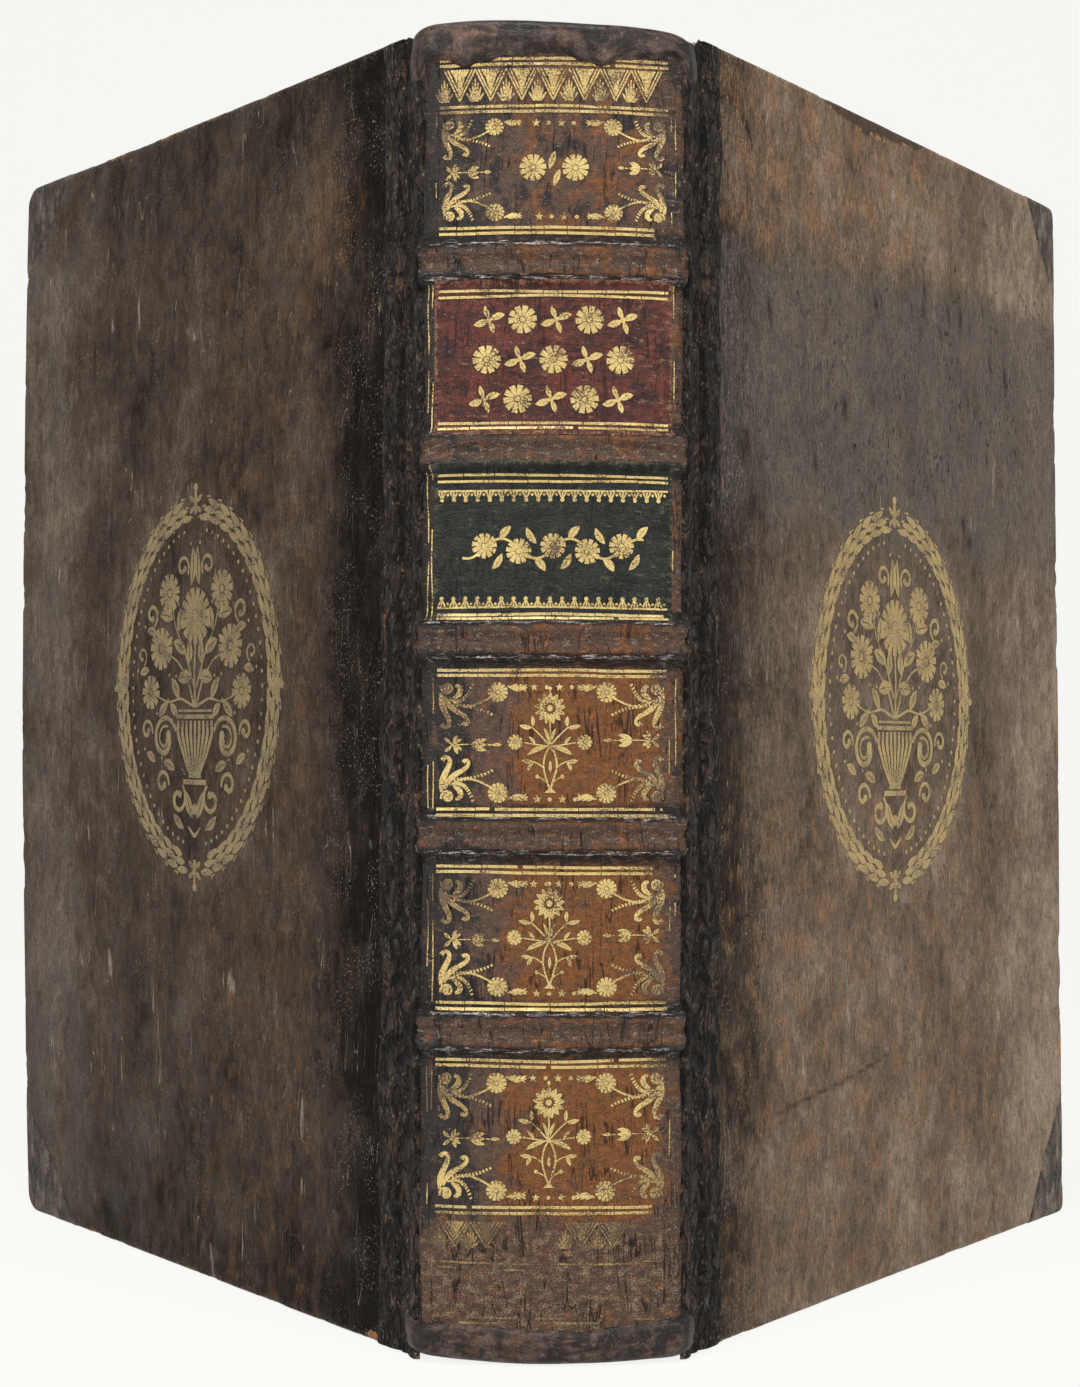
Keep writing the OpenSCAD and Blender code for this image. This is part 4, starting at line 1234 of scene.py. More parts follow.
            # Painted sheen: a grey tint over the upper part of the front cover.
            cool_share_and_sheen = smooth((z - 196) / 30) * (1 - smooth((border + 4) / 10))
            tone = 0.45 - 0.5 * near + 0.3 * fore + 0.12 * foot + 0.16 * head_warm - 0.14 * cool_share_and_sheen
            tone = tone + self.near_joint(u, z)
            warm = 0.5 * head_warm + 0.4 * (1 - smooth((z - 120) / 70)) * (1 - 0.4 * near) - 0.2 * fore
            tone = tone + 0.1 * (1 - smooth((z - 90) / 60)) * (1 - near)
            crackle = 0.8 * near + 0.1 * cool_share_and_sheen
            flecked = 0.5 * smooth((z - 200) / 30) * (1 - 0.8 * smooth((z - 296) / 10))
            flecked = flecked * smooth((u - 20) / 40)
            strip = self.edge_strip(u, z, inset)
        else:
            spot = np.exp(-(((u - 33) / 15) ** 2) - ((z - 300) / 24) ** 2)
            # On the back the grey tint goes to the fore edge, the head and the lower fore part.
            cool_share_and_sheen = 0.5 * fore + 0.2 * top + 0.25 * (1 - smooth((z - 60) / 60)) * smooth((u - 60) / 60)
            tone = 0.42 - 0.52 * near + 0.34 * fore - 0.16 * foot - 0.16 * top + 0.24 * spot
            warm = 0.55 * spot + 0.3 * smooth((u - 26) / 22) * (1 - smooth((u - 82) / 46)) - 0.35 * top
            crackle = 0.9 * near
            flecked = 0.15 * (1 - near)
            strip = np.zeros_like(u)
        tone = tone + 0.14 * (1 - smooth((np.abs(ring) - 1) / 5))
        spots = 0.5 * smooth((wear - 0.6) / 0.2) * (1 - smooth(inset / 4.5))
        rub = np.maximum(0.5 * edge + 0.25 * edge * wear, spots)
        border_bits = 0.9 * np.exp(-((strip - 0.5) / 0.3) ** 2) * smooth((wear - 0.42) / 0.15)
        bare = 0.52 * edge * smooth((wear - 0.54) / 0.2) + self.chips(u, z) + border_bits * (strip > 0.02)
        return {
            "tone": tone, "warm": warm, "cool": cool_share_and_sheen, "rub": rub, "bare": bare, "crackle": crackle,
            "flecked": flecked, "strip": strip, "dent": self.dents(u, z),
        }

    def near_joint(self, u: Array, z: Array) -> Array:
        """The pale rubbed place and the crease at the head, by the joint; the crease is a dark line of
        painted shade.
        """
        place = smooth((u - 3) / 5) * (1 - smooth((u - 17) / 9))
        place = place * smooth((z - 290) / 8) * (1 - smooth((z - 312) / 10))
        fold = np.abs(z - 311 - (27 - u) * 17 / 14)
        # Painted shade: the crease has no relief, only this darker line in the tone.
        crease = np.exp(-((fold / 1.1) ** 2)) * smooth((u - 12) / 3) * (1 - smooth((u - 24) / 4))
        return 0.42 * place - 0.5 * crease

    def edge_strip(self, u: Array, z: Array, inset: Array) -> Array:
        """The place at the head edge where the leather's face has flaked off."""
        reach = np.interp(u, (58, 66, 74, 86, 96, 108, 118, 124), (0, 1.8, 3.0, 4.6, 4.2, 3.4, 2.4, 0))
        reach = reach + 2.6 * (fractal(u / 4.2, z / 9, 66, 4) - 0.5)
        depth = self.form.height - z
        between = smooth((u - 57) / 4) * (1 - smooth((u - 121) / 4))
        return smooth((reach - depth) / 1.2 + 0.5) * (depth < 20) * between

    def dents(self, u: Array, z: Array) -> Array:
        """Short dark cuts standing one by one, and the long scratches."""
        total = np.zeros_like(u)
        if self.form.side is Side.FRONT:
            cuts = (
                (122.2, 289, 0.9, 3.4), (121.5, 283, 0.8, 2.6), (137.7, 283.6, 0.8, 3.6),
                (145.7, 284, 0.9, 4.2), (151.5, 282, 0.6, 2.0), (160.5, 289.4, 0.7, 3.2),
                (133, 277, 0.8, 2.2), (176, 270, 1.1, 4.6), (165.5, 273, 1.0, 4.0), (92.8, 280, 1.0, 3.0),
                (35, 268.6, 1.0, 4.2), (75, 247.7, 1.1, 4.0), (147, 221, 0.9, 2.6), (151, 216, 0.9, 2.2),
                (163, 243, 0.7, 3.4), (59, 230, 0.9, 3.2),
            )
        else:
            cuts = ((52, 262, 0.6, 3.0), (120, 240, 0.6, 4.0), (66, 120, 0.6, 2.6))
        for (au, az), (bu, bz), wide in self.scratches:
            du, dz = bu - au, bz - az
            run = np.clip(((u - au) * du + (z - az) * dz) / (du**2 + dz**2), 0, 1)
            away = np.hypot(u - au - run * du, z - az - run * dz)
            total = np.maximum(total, 0.75 * np.exp(-((away / wide) ** 2)))
        for pu, pz, wide, tall in cuts:
            lean = 0.16 * (z - pz)
            total = np.maximum(total, np.exp(-(((u - pu + lean) / wide) ** 2) - ((z - pz) / tall) ** 2))
        return total

    def oval_gap(self, u: Array, z: Array) -> Array:
        """About how far a place is outside the gold oval's border."""
        a, b = (u - self.oval[0]) / self.oval[2], (z - self.oval[1]) / self.oval[3]
        return (np.hypot(a, b) - 1) * self.oval[2]

    def chips(self, u: Array, z: Array) -> Array:
        """Small orange places where the leather's face has gone."""
        if self.form.side is Side.FRONT:
            places: tuple[tuple[float, ...], ...] = ((213.0, 54.0, 1.5, 3.4),)
        else:
            places = ((14.0, 1.3, 3.2, 1.4), (2.0, 40.0, 0.6, 0.6))
        total = np.zeros_like(u)
        for pu, pz, wide, tall in places:
            total = total + 1.2 * np.exp(-(((u - pu) / wide) ** 2) - ((z - pz) / tall) ** 2)
        return total

    def patch(self, head: bool, material: bpy.types.Material) -> bpy.types.Object:
        """A corner patch laid over the leather, its edge cut slantwise and pared."""
        f, rim = self.form, self.form.rim_inset
        run, rise = self.head_patch if head else self.tail_patch
        st = self.stations()
        corner_z = f.height - rim if head else rim
        far = f.width - rim
        along_u = f.width - st.base[:, 0]
        along_z = (f.height - st.base[:, 1]) if head else st.base[:, 1]
        on_edge = np.isclose(st.base[:, 0], far) & (np.abs(st.base[:, 1] - corner_z) < rise - rim)
        on_end = np.isclose(st.base[:, 1], corner_z) & (far - st.base[:, 0] < run - rim)
        pick = on_edge | on_end
        keep = RimStations(st.base[pick], st.out[pick], st.spread[pick], st.mitre[pick])
        au, az = along_u[pick], along_z[pick]
        upright = np.abs(keep.out[:, 0]) > 0.999
        knee = self.knee(run, rise)
        width_at = np.interp(az, [0, knee[1], rise], [run, knee[0], 0])
        height_at = np.interp(au, [0, knee[0], run], [rise, knee[1], 0])
        end = np.where(upright, np.minimum(width_at, az), np.minimum(height_at, au))
        straight = upright | (np.abs(keep.out[:, 1]) > 0.999)
        end = np.where(straight, end, rim)
        ragged = 0.9 * (value_noise(keep.base[:, 0] / 5, keep.base[:, 1] / 5, 17) - 0.5)
        limit = rim + keep.mitre
        end = np.where(end < limit - 0.01, end + ragged, end)
        end = np.clip(np.minimum(end, limit), 1.7, None)
        path = self.section(self.turn_in - 4)
        edge_path = [p for p in path if p[0] < f.edge_round + 0.01 and p[1] < f.thick]
        inner_path = [(3.0, f.thick), (4.5, f.thick), (6.0, f.thick)]
        steps = np.linspace(0, 1, 22)
        outer_end = f.edge_round + 0.15
        rows = [[(e + (outer_end - e) * t, 0.0) for t in steps] + edge_path + inner_path for e in end]
        inset, depth = np.moveaxis(np.array(rows), -1, 0)
        u, w, z = self.rim_places(keep, inset, depth)
        border = self.border_gap(u, z, run, rise, head)
        lift = self.patch_lift * smooth((border + 0.1) / 1.1) + 0.03
        outer = 1 - smooth(depth / f.thick * 1.4)
        w = w - f.relief(u, z) * outer + self.worn(u, z, inset) * outer * 0.6
        count = depth.shape[1]
        index = np.arange(count)
        on_face = index < len(steps)
        on_wall = (index >= len(steps)) & (index < len(steps) + len(edge_path))
        w = w - np.where(on_face, lift, 0) + np.where(~on_face & ~on_wall, 0.15, 0)
        push = np.where(on_wall, lift, 0)
        u = u + keep.out[:, :1] * push
        z = z + keep.out[:, 1:] * push
        w = w - push * np.linspace(1, -1, count)[None, :] * 0.4
        floor_gap = 0.02
        z = z if head else np.maximum(z, floor_gap)
        skin = Skin.sheet(f.place(u, w, z), u, z)
        if f.side is Side.BACK:
            skin = skin.flipped()
        end_name = "head" if head else "tail"
        piece = skin.make(f"{self.word}_{end_name}_corner_patch", material)
        return put(piece, self.body, f"{self.word}_{end_name}_corner", "corner_calf")

    def knee(self, run: float, rise: float) -> Point:
        """Bend in a patch's slanting edge, from the cover's corner."""
        return 0.55 * run, 0.52 * rise

    def border_gap(self, u: Array, z: Array, run: float, rise: float, head: bool) -> Array:
        """Distance inside the patch's slanting edge.

        Args:
            u: distance from the hinge line.
            z: height above the tail.
            run: the patch's reach along the end.
            rise: the patch's reach along the fore edge.
            head: whether it is the patch at the head.

        Returns:
            The distance, below 0 outside the patch.
        """
        a = self.form.width - u
        b = (self.form.height - z) if head else z
        knee = self.knee(run, rise)
        gaps = []
        for p, q in (((0.0, rise), knee), (knee, (run, 0.0))):
            dx, dy = q[0] - p[0], q[1] - p[1]
            gaps.append(-((a - p[0]) * -dy + (b - p[1]) * dx) / hypot(dx, dy))
        return np.minimum(gaps[0], gaps[1])

    def board(self, material: bpy.types.Material) -> bpy.types.Object:
        """The board inside, warped with its leather."""
        f, inset = self.form, self.board_inset
        u = np.linspace(self.board_start, f.width - inset, 44)
        z = np.linspace(inset, f.height - inset, 68)
        U, Z = np.meshgrid(u, z)
        whole = Skin.sheet(f.place(U, self.board_top, Z), U, Z)
        whole = whole.joined(Skin.sheet(f.place(U, f.thick - self.board_under, Z), U, Z).flipped())
        for end in (0, -1):
            whole = whole.joined(self.wall(u, np.full_like(u, z[end])))
        for end in (0, -1):
            whole = whole.joined(self.wall(np.full_like(z, u[end]), z))
        piece = whole.welded().make(f"{self.word}_board_core", material)
        return put(piece, self.body, f"{self.word}_board", "pasteboard")

    def wall(self, u: Array, z: Array) -> Skin:
        """A strip across the board's thickness along one of its edges."""
        depth = np.linspace(self.board_top, self.form.thick - self.board_under, 4)
        U, D = np.meshgrid(u, depth)
        Z, _ = np.meshgrid(z, depth)
        return Skin.sheet(self.form.place(U, D, Z), U + D, Z)

    def pastedown(self, material: bpy.types.Material) -> bpy.types.Object:
        """The paper pasted inside the cover, showing the turn-ins under it."""
        f, margin = self.form, self.paper_margin
        u = np.linspace(self.board_start, f.width - margin, 140)
        z = np.linspace(margin, f.height - margin, 200)
        U, Z = np.meshgrid(u, z)
        from_edge = np.minimum(f.width - U, np.minimum(Z, f.height - Z))
        step = 0.3 * (1 - smooth((from_edge - self.turn_in) / 2.5))
        wave = 0.2 * (fractal(U / 30, Z / 40, f.seed + 30, 3) - 0.5)
        edge = np.minimum(np.minimum(u[-1] - U, U - u[0]), np.minimum(Z - z[0], z[-1] - Z))
        depth = f.thick - 0.2 + step + wave * smooth(edge / 4) + 0.2 * smooth((edge + 0.2) / 0.6)
        skin = Skin.sheet(f.place(U, depth, Z), U, Z)
        if f.side is Side.FRONT:
            skin = skin.flipped()
        piece = skin.make(f"{self.word}_pastedown_sheet", material)
        return put(piece, self.body, f"{self.word}_pastedown", "endpaper")


@dataclass
class JointLeather:
    """The repaired leather that bends between the spine and a cover."""

    cover: CoverForm
    spine_from: float = 33.1
    spine_to: float = 39.1
    board_from: float = 0.7
    board_to: float = 11.5
    lift: float = 0.3
    groove: float = 0.75
    low: float = 0.35
    high: float = 332.2
    spine_high: float = 330.4
    spine_run: float = 6.0
    bridge_run: float = 1.6
    board_run: float = 10.8

    def skin(self) -> Skin:
        """Strip from the spine's side over the hinge line on to the board."""
        c, form, sign = self.cover, self.cover.spine, self.cover.side.value
        z = np.linspace(self.low, self.high, 420)
        wander = 1.3 * (fractal(z / 18, 0 * z, c.seed + 50, 3) - 0.5)
        ragged = 3.2 * (fractal(z / 14, 0 * z + 4, c.seed + 51, 4) - 0.5)
        up = self.low + (z - self.low) * (self.spine_high - self.low) / (self.high - self.low)
        columns, spans = [], []
        for k, t in enumerate(np.linspace(0, 1, 16)):
            s = (self.spine_from + wander) * (1 - t) + self.spine_to * t
            crack = 0.16 * (ridged(s * 0.45, z / 9, c.seed + 60) - 0.5)
            rise = self.lift * (-0.6 if k == 0 else smooth(np.array(t * 6)))
            rise = rise + 0.1 * sin(pi * t) + crack * min(1, 4 * t)
            columns.append(form.place(sign * s, up, form.relief(sign * s, up) * (1 - 0.6 * t) + rise))
            spans.append(self.spine_run * t)
        spine_end = columns[-1]
        board_end = c.place(self.board_from, self.dip(np.array(self.board_from), z), z)
        for t in np.linspace(0.2, 0.8, 4):
            columns.append(spine_end * (1 - t) + board_end * t)
            spans.append(self.spine_run + self.bridge_run * t)
        length = self.board_to + ragged - self.board_from
        for t in np.linspace(0, 1, 26):
            u = self.board_from + length * t
            columns.append(c.place(u, self.dip(u, z) + self.pared(t), z))
            spans.append(self.spine_run + self.bridge_run + self.board_run * t)
        S, Z = np.meshgrid(np.array(spans), z)
        skin = Skin.sheet(np.stack(columns, axis=1), S, Z)
        return skin if c.side is Side.FRONT else skin.flipped()

    def pared(self, t: float) -> float:
        """Depth by which the strip sinks towards its pared edge."""
        return self.lift * float(smooth(np.array((t - 0.86) / 0.14))) * 1.25

    def dip(self, u: Array, z: Array) -> Array:
        """Depth of the strip below the cover's outer face, with the groove beside the hinge."""
        valley = self.groove * np.exp(-(((u - 2.3) / 1.5) ** 2))
        rough = 0.35 * (ridged(u * 0.4, z / 12, self.cover.seed + 61) - 0.55)
        return valley - self.lift - self.cover.relief(np.maximum(u, 4.6), z) * smooth(u / 5) - rough

    def build(self, material: bpy.types.Material) -> bpy.types.Object:
        """Makes the strip in place of the CAD joint."""
        side = self.cover.side
        piece = self.skin().make(f"{side.word}_joint_strip", material)
        end = self.cover.place(1.6, 0.0, 0.0) * MM
        f"{side.word}_cover"
        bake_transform(piece)
        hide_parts(f"{side.word}_joint")
        LOG.info("%s: %d faces", piece.name, len(piece.data.polygons))
        return piece


# Gold tooling.


@dataclass
class Tooling:
    """Gold shapes drawn flat and laid on a surface, stroke by stroke."""

    lay: Callable[[Array, Array], Array]
    wear: Callable[[Array, Array], Array] | None = None
    pose: tuple[float, float, float, float, float] = (0.0, 0.0, 1.0, 1.0, 0.0)
    flat: list[Array] = field(default_factory=list)
    faces: list[tuple[int, ...]] = field(default_factory=list)
    count: list[int] = field(default_factory=lambda: [0])

    def at(self, a: float, b: float, wide: float = 1.0, tall: float = 1.0, turn: float = 0.0) -> "Tooling":
        """The same tooling with a moved, mirrored, scaled or turned origin.

        Args:
            a: place of the new origin across.
            b: place of the new origin up.
            wide: scale across, below 0 to mirror.
            tall: scale up, below 0 to mirror.
            turn: turn of the new axes, in radians.

        Returns:
            Tooling that adds to the same gold.
        """
        x, y = self.moved(np.array([[a, b]]))[0]
        _, _, old_wide, old_tall, old_turn = self.pose
        pose = (x, y, old_wide * wide, old_tall * tall, old_turn * np.sign(old_wide * old_tall) + turn)
        return Tooling(self.lay, self.wear, pose, self.flat, self.faces, self.count)

    def moved(self, line: Array) -> Array:
        """Flat places of points drawn in this tooling's own axes."""
        a, b, wide, tall, turn = self.pose
        c, s = cos(turn), sin(turn)
        x = line[:, 0] * c - line[:, 1] * s
        y = line[:, 0] * s + line[:, 1] * c
        return np.stack([a + x * wide, b + y * tall], axis=-1)

    def stroke(self, line: Sequence[Sequence[float]] | Array, width: float | Sequence[float]) -> None:
        """A strip along a line, as wide as given at each of its points or evenly spaced along it.

        Args:
            line: corners of the line, which is rounded between its ends.
            width: one width, or several that are spread evenly along the line.
        """
        line = np.asarray(line, float)
        steps = np.concatenate([[0], np.cumsum(np.hypot(*np.diff(line, axis=0).T))])
        total = float(steps[-1])
        pieces = max(len(line) - 1, int(total / 0.9) + 1)
        t = np.linspace(0, total, pieces + 1)
        fine = np.stack([np.interp(t, steps, line[:, k]) for k in (0, 1)], axis=-1)
        if len(line) > 2:
            for _ in range(2):
                fine[1:-1] = 0.25 * fine[:-2] + 0.5 * fine[1:-1] + 0.25 * fine[2:]
        widths = np.atleast_1d(np.asarray(width, float))
        half = np.interp(np.linspace(0, 1, len(t)), np.linspace(0, 1, len(widths)), widths) / 2
        way = np.gradient(fine, axis=0)
        way /= np.maximum(np.hypot(way[:, 0], way[:, 1]), 1e-9)[:, None]
        across = np.stack([-way[:, 1], way[:, 0]], axis=-1) * half[:, None]
        other = len(t)
        quads = [(k, k + 1, other + k + 1, other + k) for k in range(other - 1)]
        self.add(np.concatenate([fine - across, fine + across]), quads)

    def add(self, points: Array, faces: list[tuple[int, ...]]) -> None:
        """Keeps points and faces, turned so that the gold faces outwards."""
        points = self.moved(points)
        start = self.count[0]
        self.flat.append(points)
        a, b, c = (points[i] for i in faces[0][:3])
        turn = (b[0] - a[0]) * (c[1] - a[1]) - (b[1] - a[1]) * (c[0] - a[0])
        for f in faces:
            ring = f if turn > 0 else f[::-1]
            self.faces.append(tuple(i + start for i in ring))
        self.count[0] += len(points)

    def disc(self, a: float, b: float, radius: float, points: int = 10, waist: float = 1.0) -> None:
        """A disc, or a star when every other point is drawn in by the waist.

        Args:
            a: middle across.
            b: middle up.
            radius: distance of its points.
            points: how many points it has.
            waist: share of the radius that every second point keeps.
        """
        turn = np.linspace(0, 2 * pi, points, endpoint=False) + pi / 2
        r = radius * np.where(np.arange(points) % 2 == 0, 1, waist)
        ring = np.stack([a + r * np.cos(turn), b + r * np.sin(turn)], axis=-1)
        whole = np.concatenate([[[a, b]], ring])
        self.add(whole, [(0, k + 1, (k + 1) % points + 1) for k in range(points)])

    def leaf(self, root: Point, tip: Point, width: float, bend: float = 0.0) -> None:
        """A pointed leaf in two halves, parted by its vein.

        Args:
            root: where it starts.
            tip: where it ends.
            width: its widest place.
            bend: how far its middle is off the straight line, as a share of its length.
        """
        r, t = np.array(root), np.array(tip)
        way = t - r
        side = np.array([-way[1], way[0]])
        middle = r + way * 0.5 + side * bend
        k = np.linspace(0, 1, 7)[:, None]
        curve = r * (1 - k) ** 2 + 2 * middle * k * (1 - k) + t * k * k
        unit = side / max(hypot(*way), 1e-9)
        bulge = np.sin(np.linspace(0, pi, 7)) ** 0.8 * width / 4
        for sign in (-1, 1):
            self.stroke(curve + unit * (bulge * sign * 1.12)[:, None], np.maximum(bulge * 1.75, 0.05))

    def curl(
        self, a: float, b: float, radius: float, start: float, stop: float, width: float, shrink: float = 0.35
    ) -> None:
        """A scroll round a centre, from one angle to another in degrees, winding inwards.

        Args:
            a: centre across.
            b: centre up.
            radius: radius at its start.
            start: first angle.
            stop: last angle.
            width: width at its end.
            shrink: share of the radius left at its end.
        """
        turn = np.radians(np.linspace(start, stop, 22))
        r = radius * np.linspace(1, shrink, 22)
        line = np.stack([a + r * np.cos(turn), b + r * np.sin(turn)], axis=-1)
        self.stroke(line, np.linspace(width * 0.7, width, 22))
        self.disc(line[-1, 0], line[-1, 1], width * 0.75)

    def flower(self, a: float, b: float, radius: float, petals: int, pointed: bool = False) -> None:
        """A round fluted flower, or one with pointed petals.

        Args:
            a: middle across.
            b: middle up.
            radius: reach of the petals.
            petals: how many there are.
            pointed: whether they are leaves instead of flutes.
        """
        for k in range(petals):
            turn = 2 * pi * k / petals + 0.1
            way = np.array([cos(turn), sin(turn)])
            here = np.array([a, b])
            if pointed:
                self.leaf(tuple(here + way * radius * 0.32), tuple(here + way * radius), radius * 0.34)
            else:
                wide = 2 * pi * radius / petals
                line = [here + way * radius * 0.24, here + way * radius * 0.7, here + way * radius]
                self.stroke(line, [wide * 0.18, wide * 0.62, wide * 0.66])
        self.disc(a, b, radius * 0.2)

    def acanthus(self, root: Point, tip: Point, width: float) -> None:
        """A lobed leaf with a curled tip."""
        r, t = np.array(root), np.array(tip)
        way = t - r
        side = np.array([-way[1], way[0]])
        self.stroke([r, r + way * 0.5 + side * 0.12, t], [0.3, width * 0.8, 0.3])
        for k in (0.25, 0.5, 0.75):
            here = r + way * k
            self.stroke([here, here + way * 0.2 + side * 0.2], [width * 0.4, 0.2])
            self.stroke([here, here + way * 0.22 - side * 0.14], [width * 0.4, 0.2])

    def skin(self) -> Skin:
        """The shapes laid on their surface, with one mask of place-to-place wear."""
        flat = np.concatenate(self.flat)
        points = self.lay(flat[:, 0], flat[:, 1])
        rub = self.wear(flat[:, 0], flat[:, 1]) if self.wear else np.zeros(len(flat))
        return Skin(points, self.faces, flat, {"rub": rub})


# Levels of the double lines on the leather, from head to tail.
FILLET_PAIRS = (
    (323.2, 321.9), (311.4, 310.1), (281.3, 279.9), (171.1, 169.7), (136.7, 135.2),
    (122.5, 121.1), (88.9, 87.5), (74.8, 73.4), (38.8, 37.4),
)
# Remains of the lines at the tail: level, start and end.
WORN_FILLETS = (
    (25.1, -27.8, -4.0), (25.0, 1.5, 21.0), (25.4, 23.0, 27.5), (23.7, -27.8, -24.0), (23.5, -12.0, -6.0),
    (11.9, -20.0, -8.0), (12.0, -4.0, 4.0), (10.4, -23.0, -12.0), (10.6, -3.0, 12.0), (11.4, 20.0, 26.0),
)
# Tail and head ends of the upright lines, beside the gilt compartments and beside the labels.
GILT_SIDES = ((281.5, 309.8), (136.9, 169.5), (89.1, 120.9), (39.0, 73.2))
LABEL_SIDES = ((229.8, 267.4), (183.6, 222.2))
# The two long fronds of a corner spray, from the corner outwards: line and widths.
SPRAY_FRONDS = (
    (
        ((0.5, 3.4), (0.7, 6.0), (1.5, 8.4), (2.6, 10.2), (3.0, 12.0), (2.2, 13.0), (1.1, 12.6), (0.7, 11.7)),
        (0.6, 1.5, 1.7, 1.5, 1.3, 1.1, 1.0, 1.3),
    ),
    (
        ((1.5, 4.2), (2.3, 6.4), (4.2, 8.2), (6.4, 9.2), (7.9, 10.6), (7.7, 12.0), (6.6, 12.1), (6.2, 11.2)),
        (0.5, 1.2, 1.5, 1.3, 1.2, 1.0, 0.9, 1.1),
    ),
)
# Level lines of the two labels; those of the second one with their widths.
TITLE_LINES = (265.2, 263.9, 232.4, 231.0)
SECOND_LINES = ((219.3, 0.62), (218.0, 0.62), (215.6, 0.5), (186.5, 0.5), (184.9, 0.7), (183.8, 0.6))


@dataclass
class SpineGilding:
    """Fillets, rolls and sprays of gold on the back and its labels."""

    form: SpineForm
    title: SpineLabel
    second: SpineLabel
    lift: float = 0.11
    fillet: float = 0.72
    left: float = -28.9
    right: float = 28.8
    fields: tuple[tuple[float, float], ...] = ((281.7, 309.6), (137.1, 169.3), (89.3, 120.7), (39.2, 73.0))

    def on_leather(self, s: Array, z: Array) -> Array:
        """Lays flat places on the spine leather."""
        return self.form.place(s, z, self.form.relief(s, z) + self.lift)

    def wear(self, s: Array, z: Array) -> Array:
        """How far the gold on the leather is rubbed away."""
        right = smooth((s - 19) / 9) + 0.5 * (1 - smooth((s + 30) / 6))
        tail = 1 - smooth((z - 34) / 6)
        head = smooth((z - 300) / 12)
        corner = (1 - smooth((s + 24) / 10)) * np.exp(-(((z - 300) / 14) ** 2))
        tarnish = np.zeros_like(z)
        for low, high in self.fields[1:]:
            t = (z - low) / (high - low)
            inside = (t > 0) & (t < 1)
            upper = (1 - smooth((s + 22) / 12)) * smooth((t - 0.38) / 0.25)
            lower = smooth((s - 10) / 10) * (1 - smooth((t - 0.2) / 0.3))
            tarnish = np.where(inside, np.maximum(0.85 * upper, 0.5 * lower), tarnish)
        return 0.6 * right + 1.0 * tail + 0.3 * head + 0.7 * corner + tarnish

    def on_label(self, label: SpineLabel) -> Callable[[Array, Array], Array]:
        """A way of laying flat places on a label."""

        def lay(s: Array, z: Array) -> Array:
            """Lays flat places on the label's face."""
            return self.form.place(s, z, self.form.relief(s, z) + label.lift(s, z) + self.lift)

        return lay

    def rule(self, tool: Tooling, z: float, start: float, stop: float, width: float, seed: float) -> None:
        """A level gold line with hair breaks, sagging a little towards the right.

        Args:
            tool: tooling that it is added to.
            z: its height.
            start: its left end.
            stop: its right end.
            width: its width.
            seed: which waver and breaks it has.
        """
        cuts = [start]
        place = start
        while place < stop:
            place += 4.5 + 9 * draw(len(cuts) - 1, seed // 1, 7.0)
            cuts.append(min(place, stop))
        for k, (a, b) in enumerate(zip(cuts[:-1], cuts[1:])):
            if b - a < 0.6:
                continue
            lost = draw(k, seed, 3.0) > 0.93
            shift = 0.12 * (draw(k, seed, 5.0) - 0.5)
            x = np.linspace(a + 0.1, b - (1.2 if lost else 0.12), 9)
            tool.stroke(np.stack([x, z + self.sag(x, seed) + shift], axis=-1), width)

    def sag(self, s: Array, seed: float) -> Array:
        """Waver of a level line along its length."""
        return 0.5 * (value_noise(s / 21, seed * 1.7, 9) - 0.5) - 0.004 * np.maximum(s, 0) * (seed % 3)

    def roll(self, tool: Tooling, low: float, high: float, lost: float) -> None:
        """The zigzag roll: double strokes with a palmette in every point.

        Args:
            tool: tooling that it is added to.
            low: its lower edge.
            high: its upper edge.
            lost: share of its points that are rubbed away.
        """
        start, pitch, count, line = -27.6, 7.8, 7, 0.42
        half, tall = pitch / 2, high - low
        for k in range(count):
            if draw(k, low, 2.0) < lost:
                continue
            own = tool.at(start + k * pitch, low)
            for shift in (0.0, 0.8):
                foot = 0.3 + shift * 1.6
                own.stroke([(shift, tall), (half + shift * 0.1, foot)], line)
                own.stroke([(pitch - shift, tall), (half - shift * 0.1, foot)], line)
            for k_leaf, reach in enumerate((0.3, 0.5, 0.66, 0.78, 0.66, 0.5, 0.3)):
                lean = (k_leaf - 3) * 0.72
                own.stroke([(half + lean, tall), (half + 0.35 * lean, tall * (1 - reach))], [0.56, 0.62, 0.3])
                own.stroke([(0.35 * lean, 0.1), (lean, tall * reach * 0.9)], [0.4, 0.66, 0.3])

    def spray(self, tool: Tooling) -> None:
        """Scrolls, a fluted flower and a leaf growing out of one corner."""
        tool.curl(2.15, 2.2, 1.75, 200, -260, 0.85)
        tool.disc(2.15, 2.2, 0.65, 8)
        for line, widths in SPRAY_FRONDS:
            tool.stroke(line, widths)
        for k, t in enumerate(np.linspace(0, 1, 12)):
            here = (3.8 + 9.6 * t, 6.5 + 1.0 * t + 1.4 * t**3)
            tool.stroke([here, (here[0] + 0.45, here[1] + 0.12 + 0.2 * t * t)], 1.15 - 0.5 * t)
        tool.stroke([(2.6, 5.2), (6.9, 7.3), (10.6, 6.2), (13.6, 4.6)], [0.4, 0.6, 0.55, 0.45])
        for t in np.linspace(0, 1, 13):
            here = (3.3 + 5.6 * t - 0.3 * t**4, 5.8 + 0.9 * t - 5.2 * t**2.6)
            tool.stroke([here, (here[0] + 0.25, here[1] - 0.4)], 1.3 - 0.45 * t)
        tool.stroke([(3.6, 5.0), (5.3, 4.2), (5.9, 2.8), (5.2, 1.4), (4.3, 1.5)], [0.5, 1.4, 1.5, 1.3, 0.8])
        tool.flower(15.2, 3.3, 2.6, 13)
        tool.acanthus((17.7, 1.7), (22.8, 2.1), 2.0)

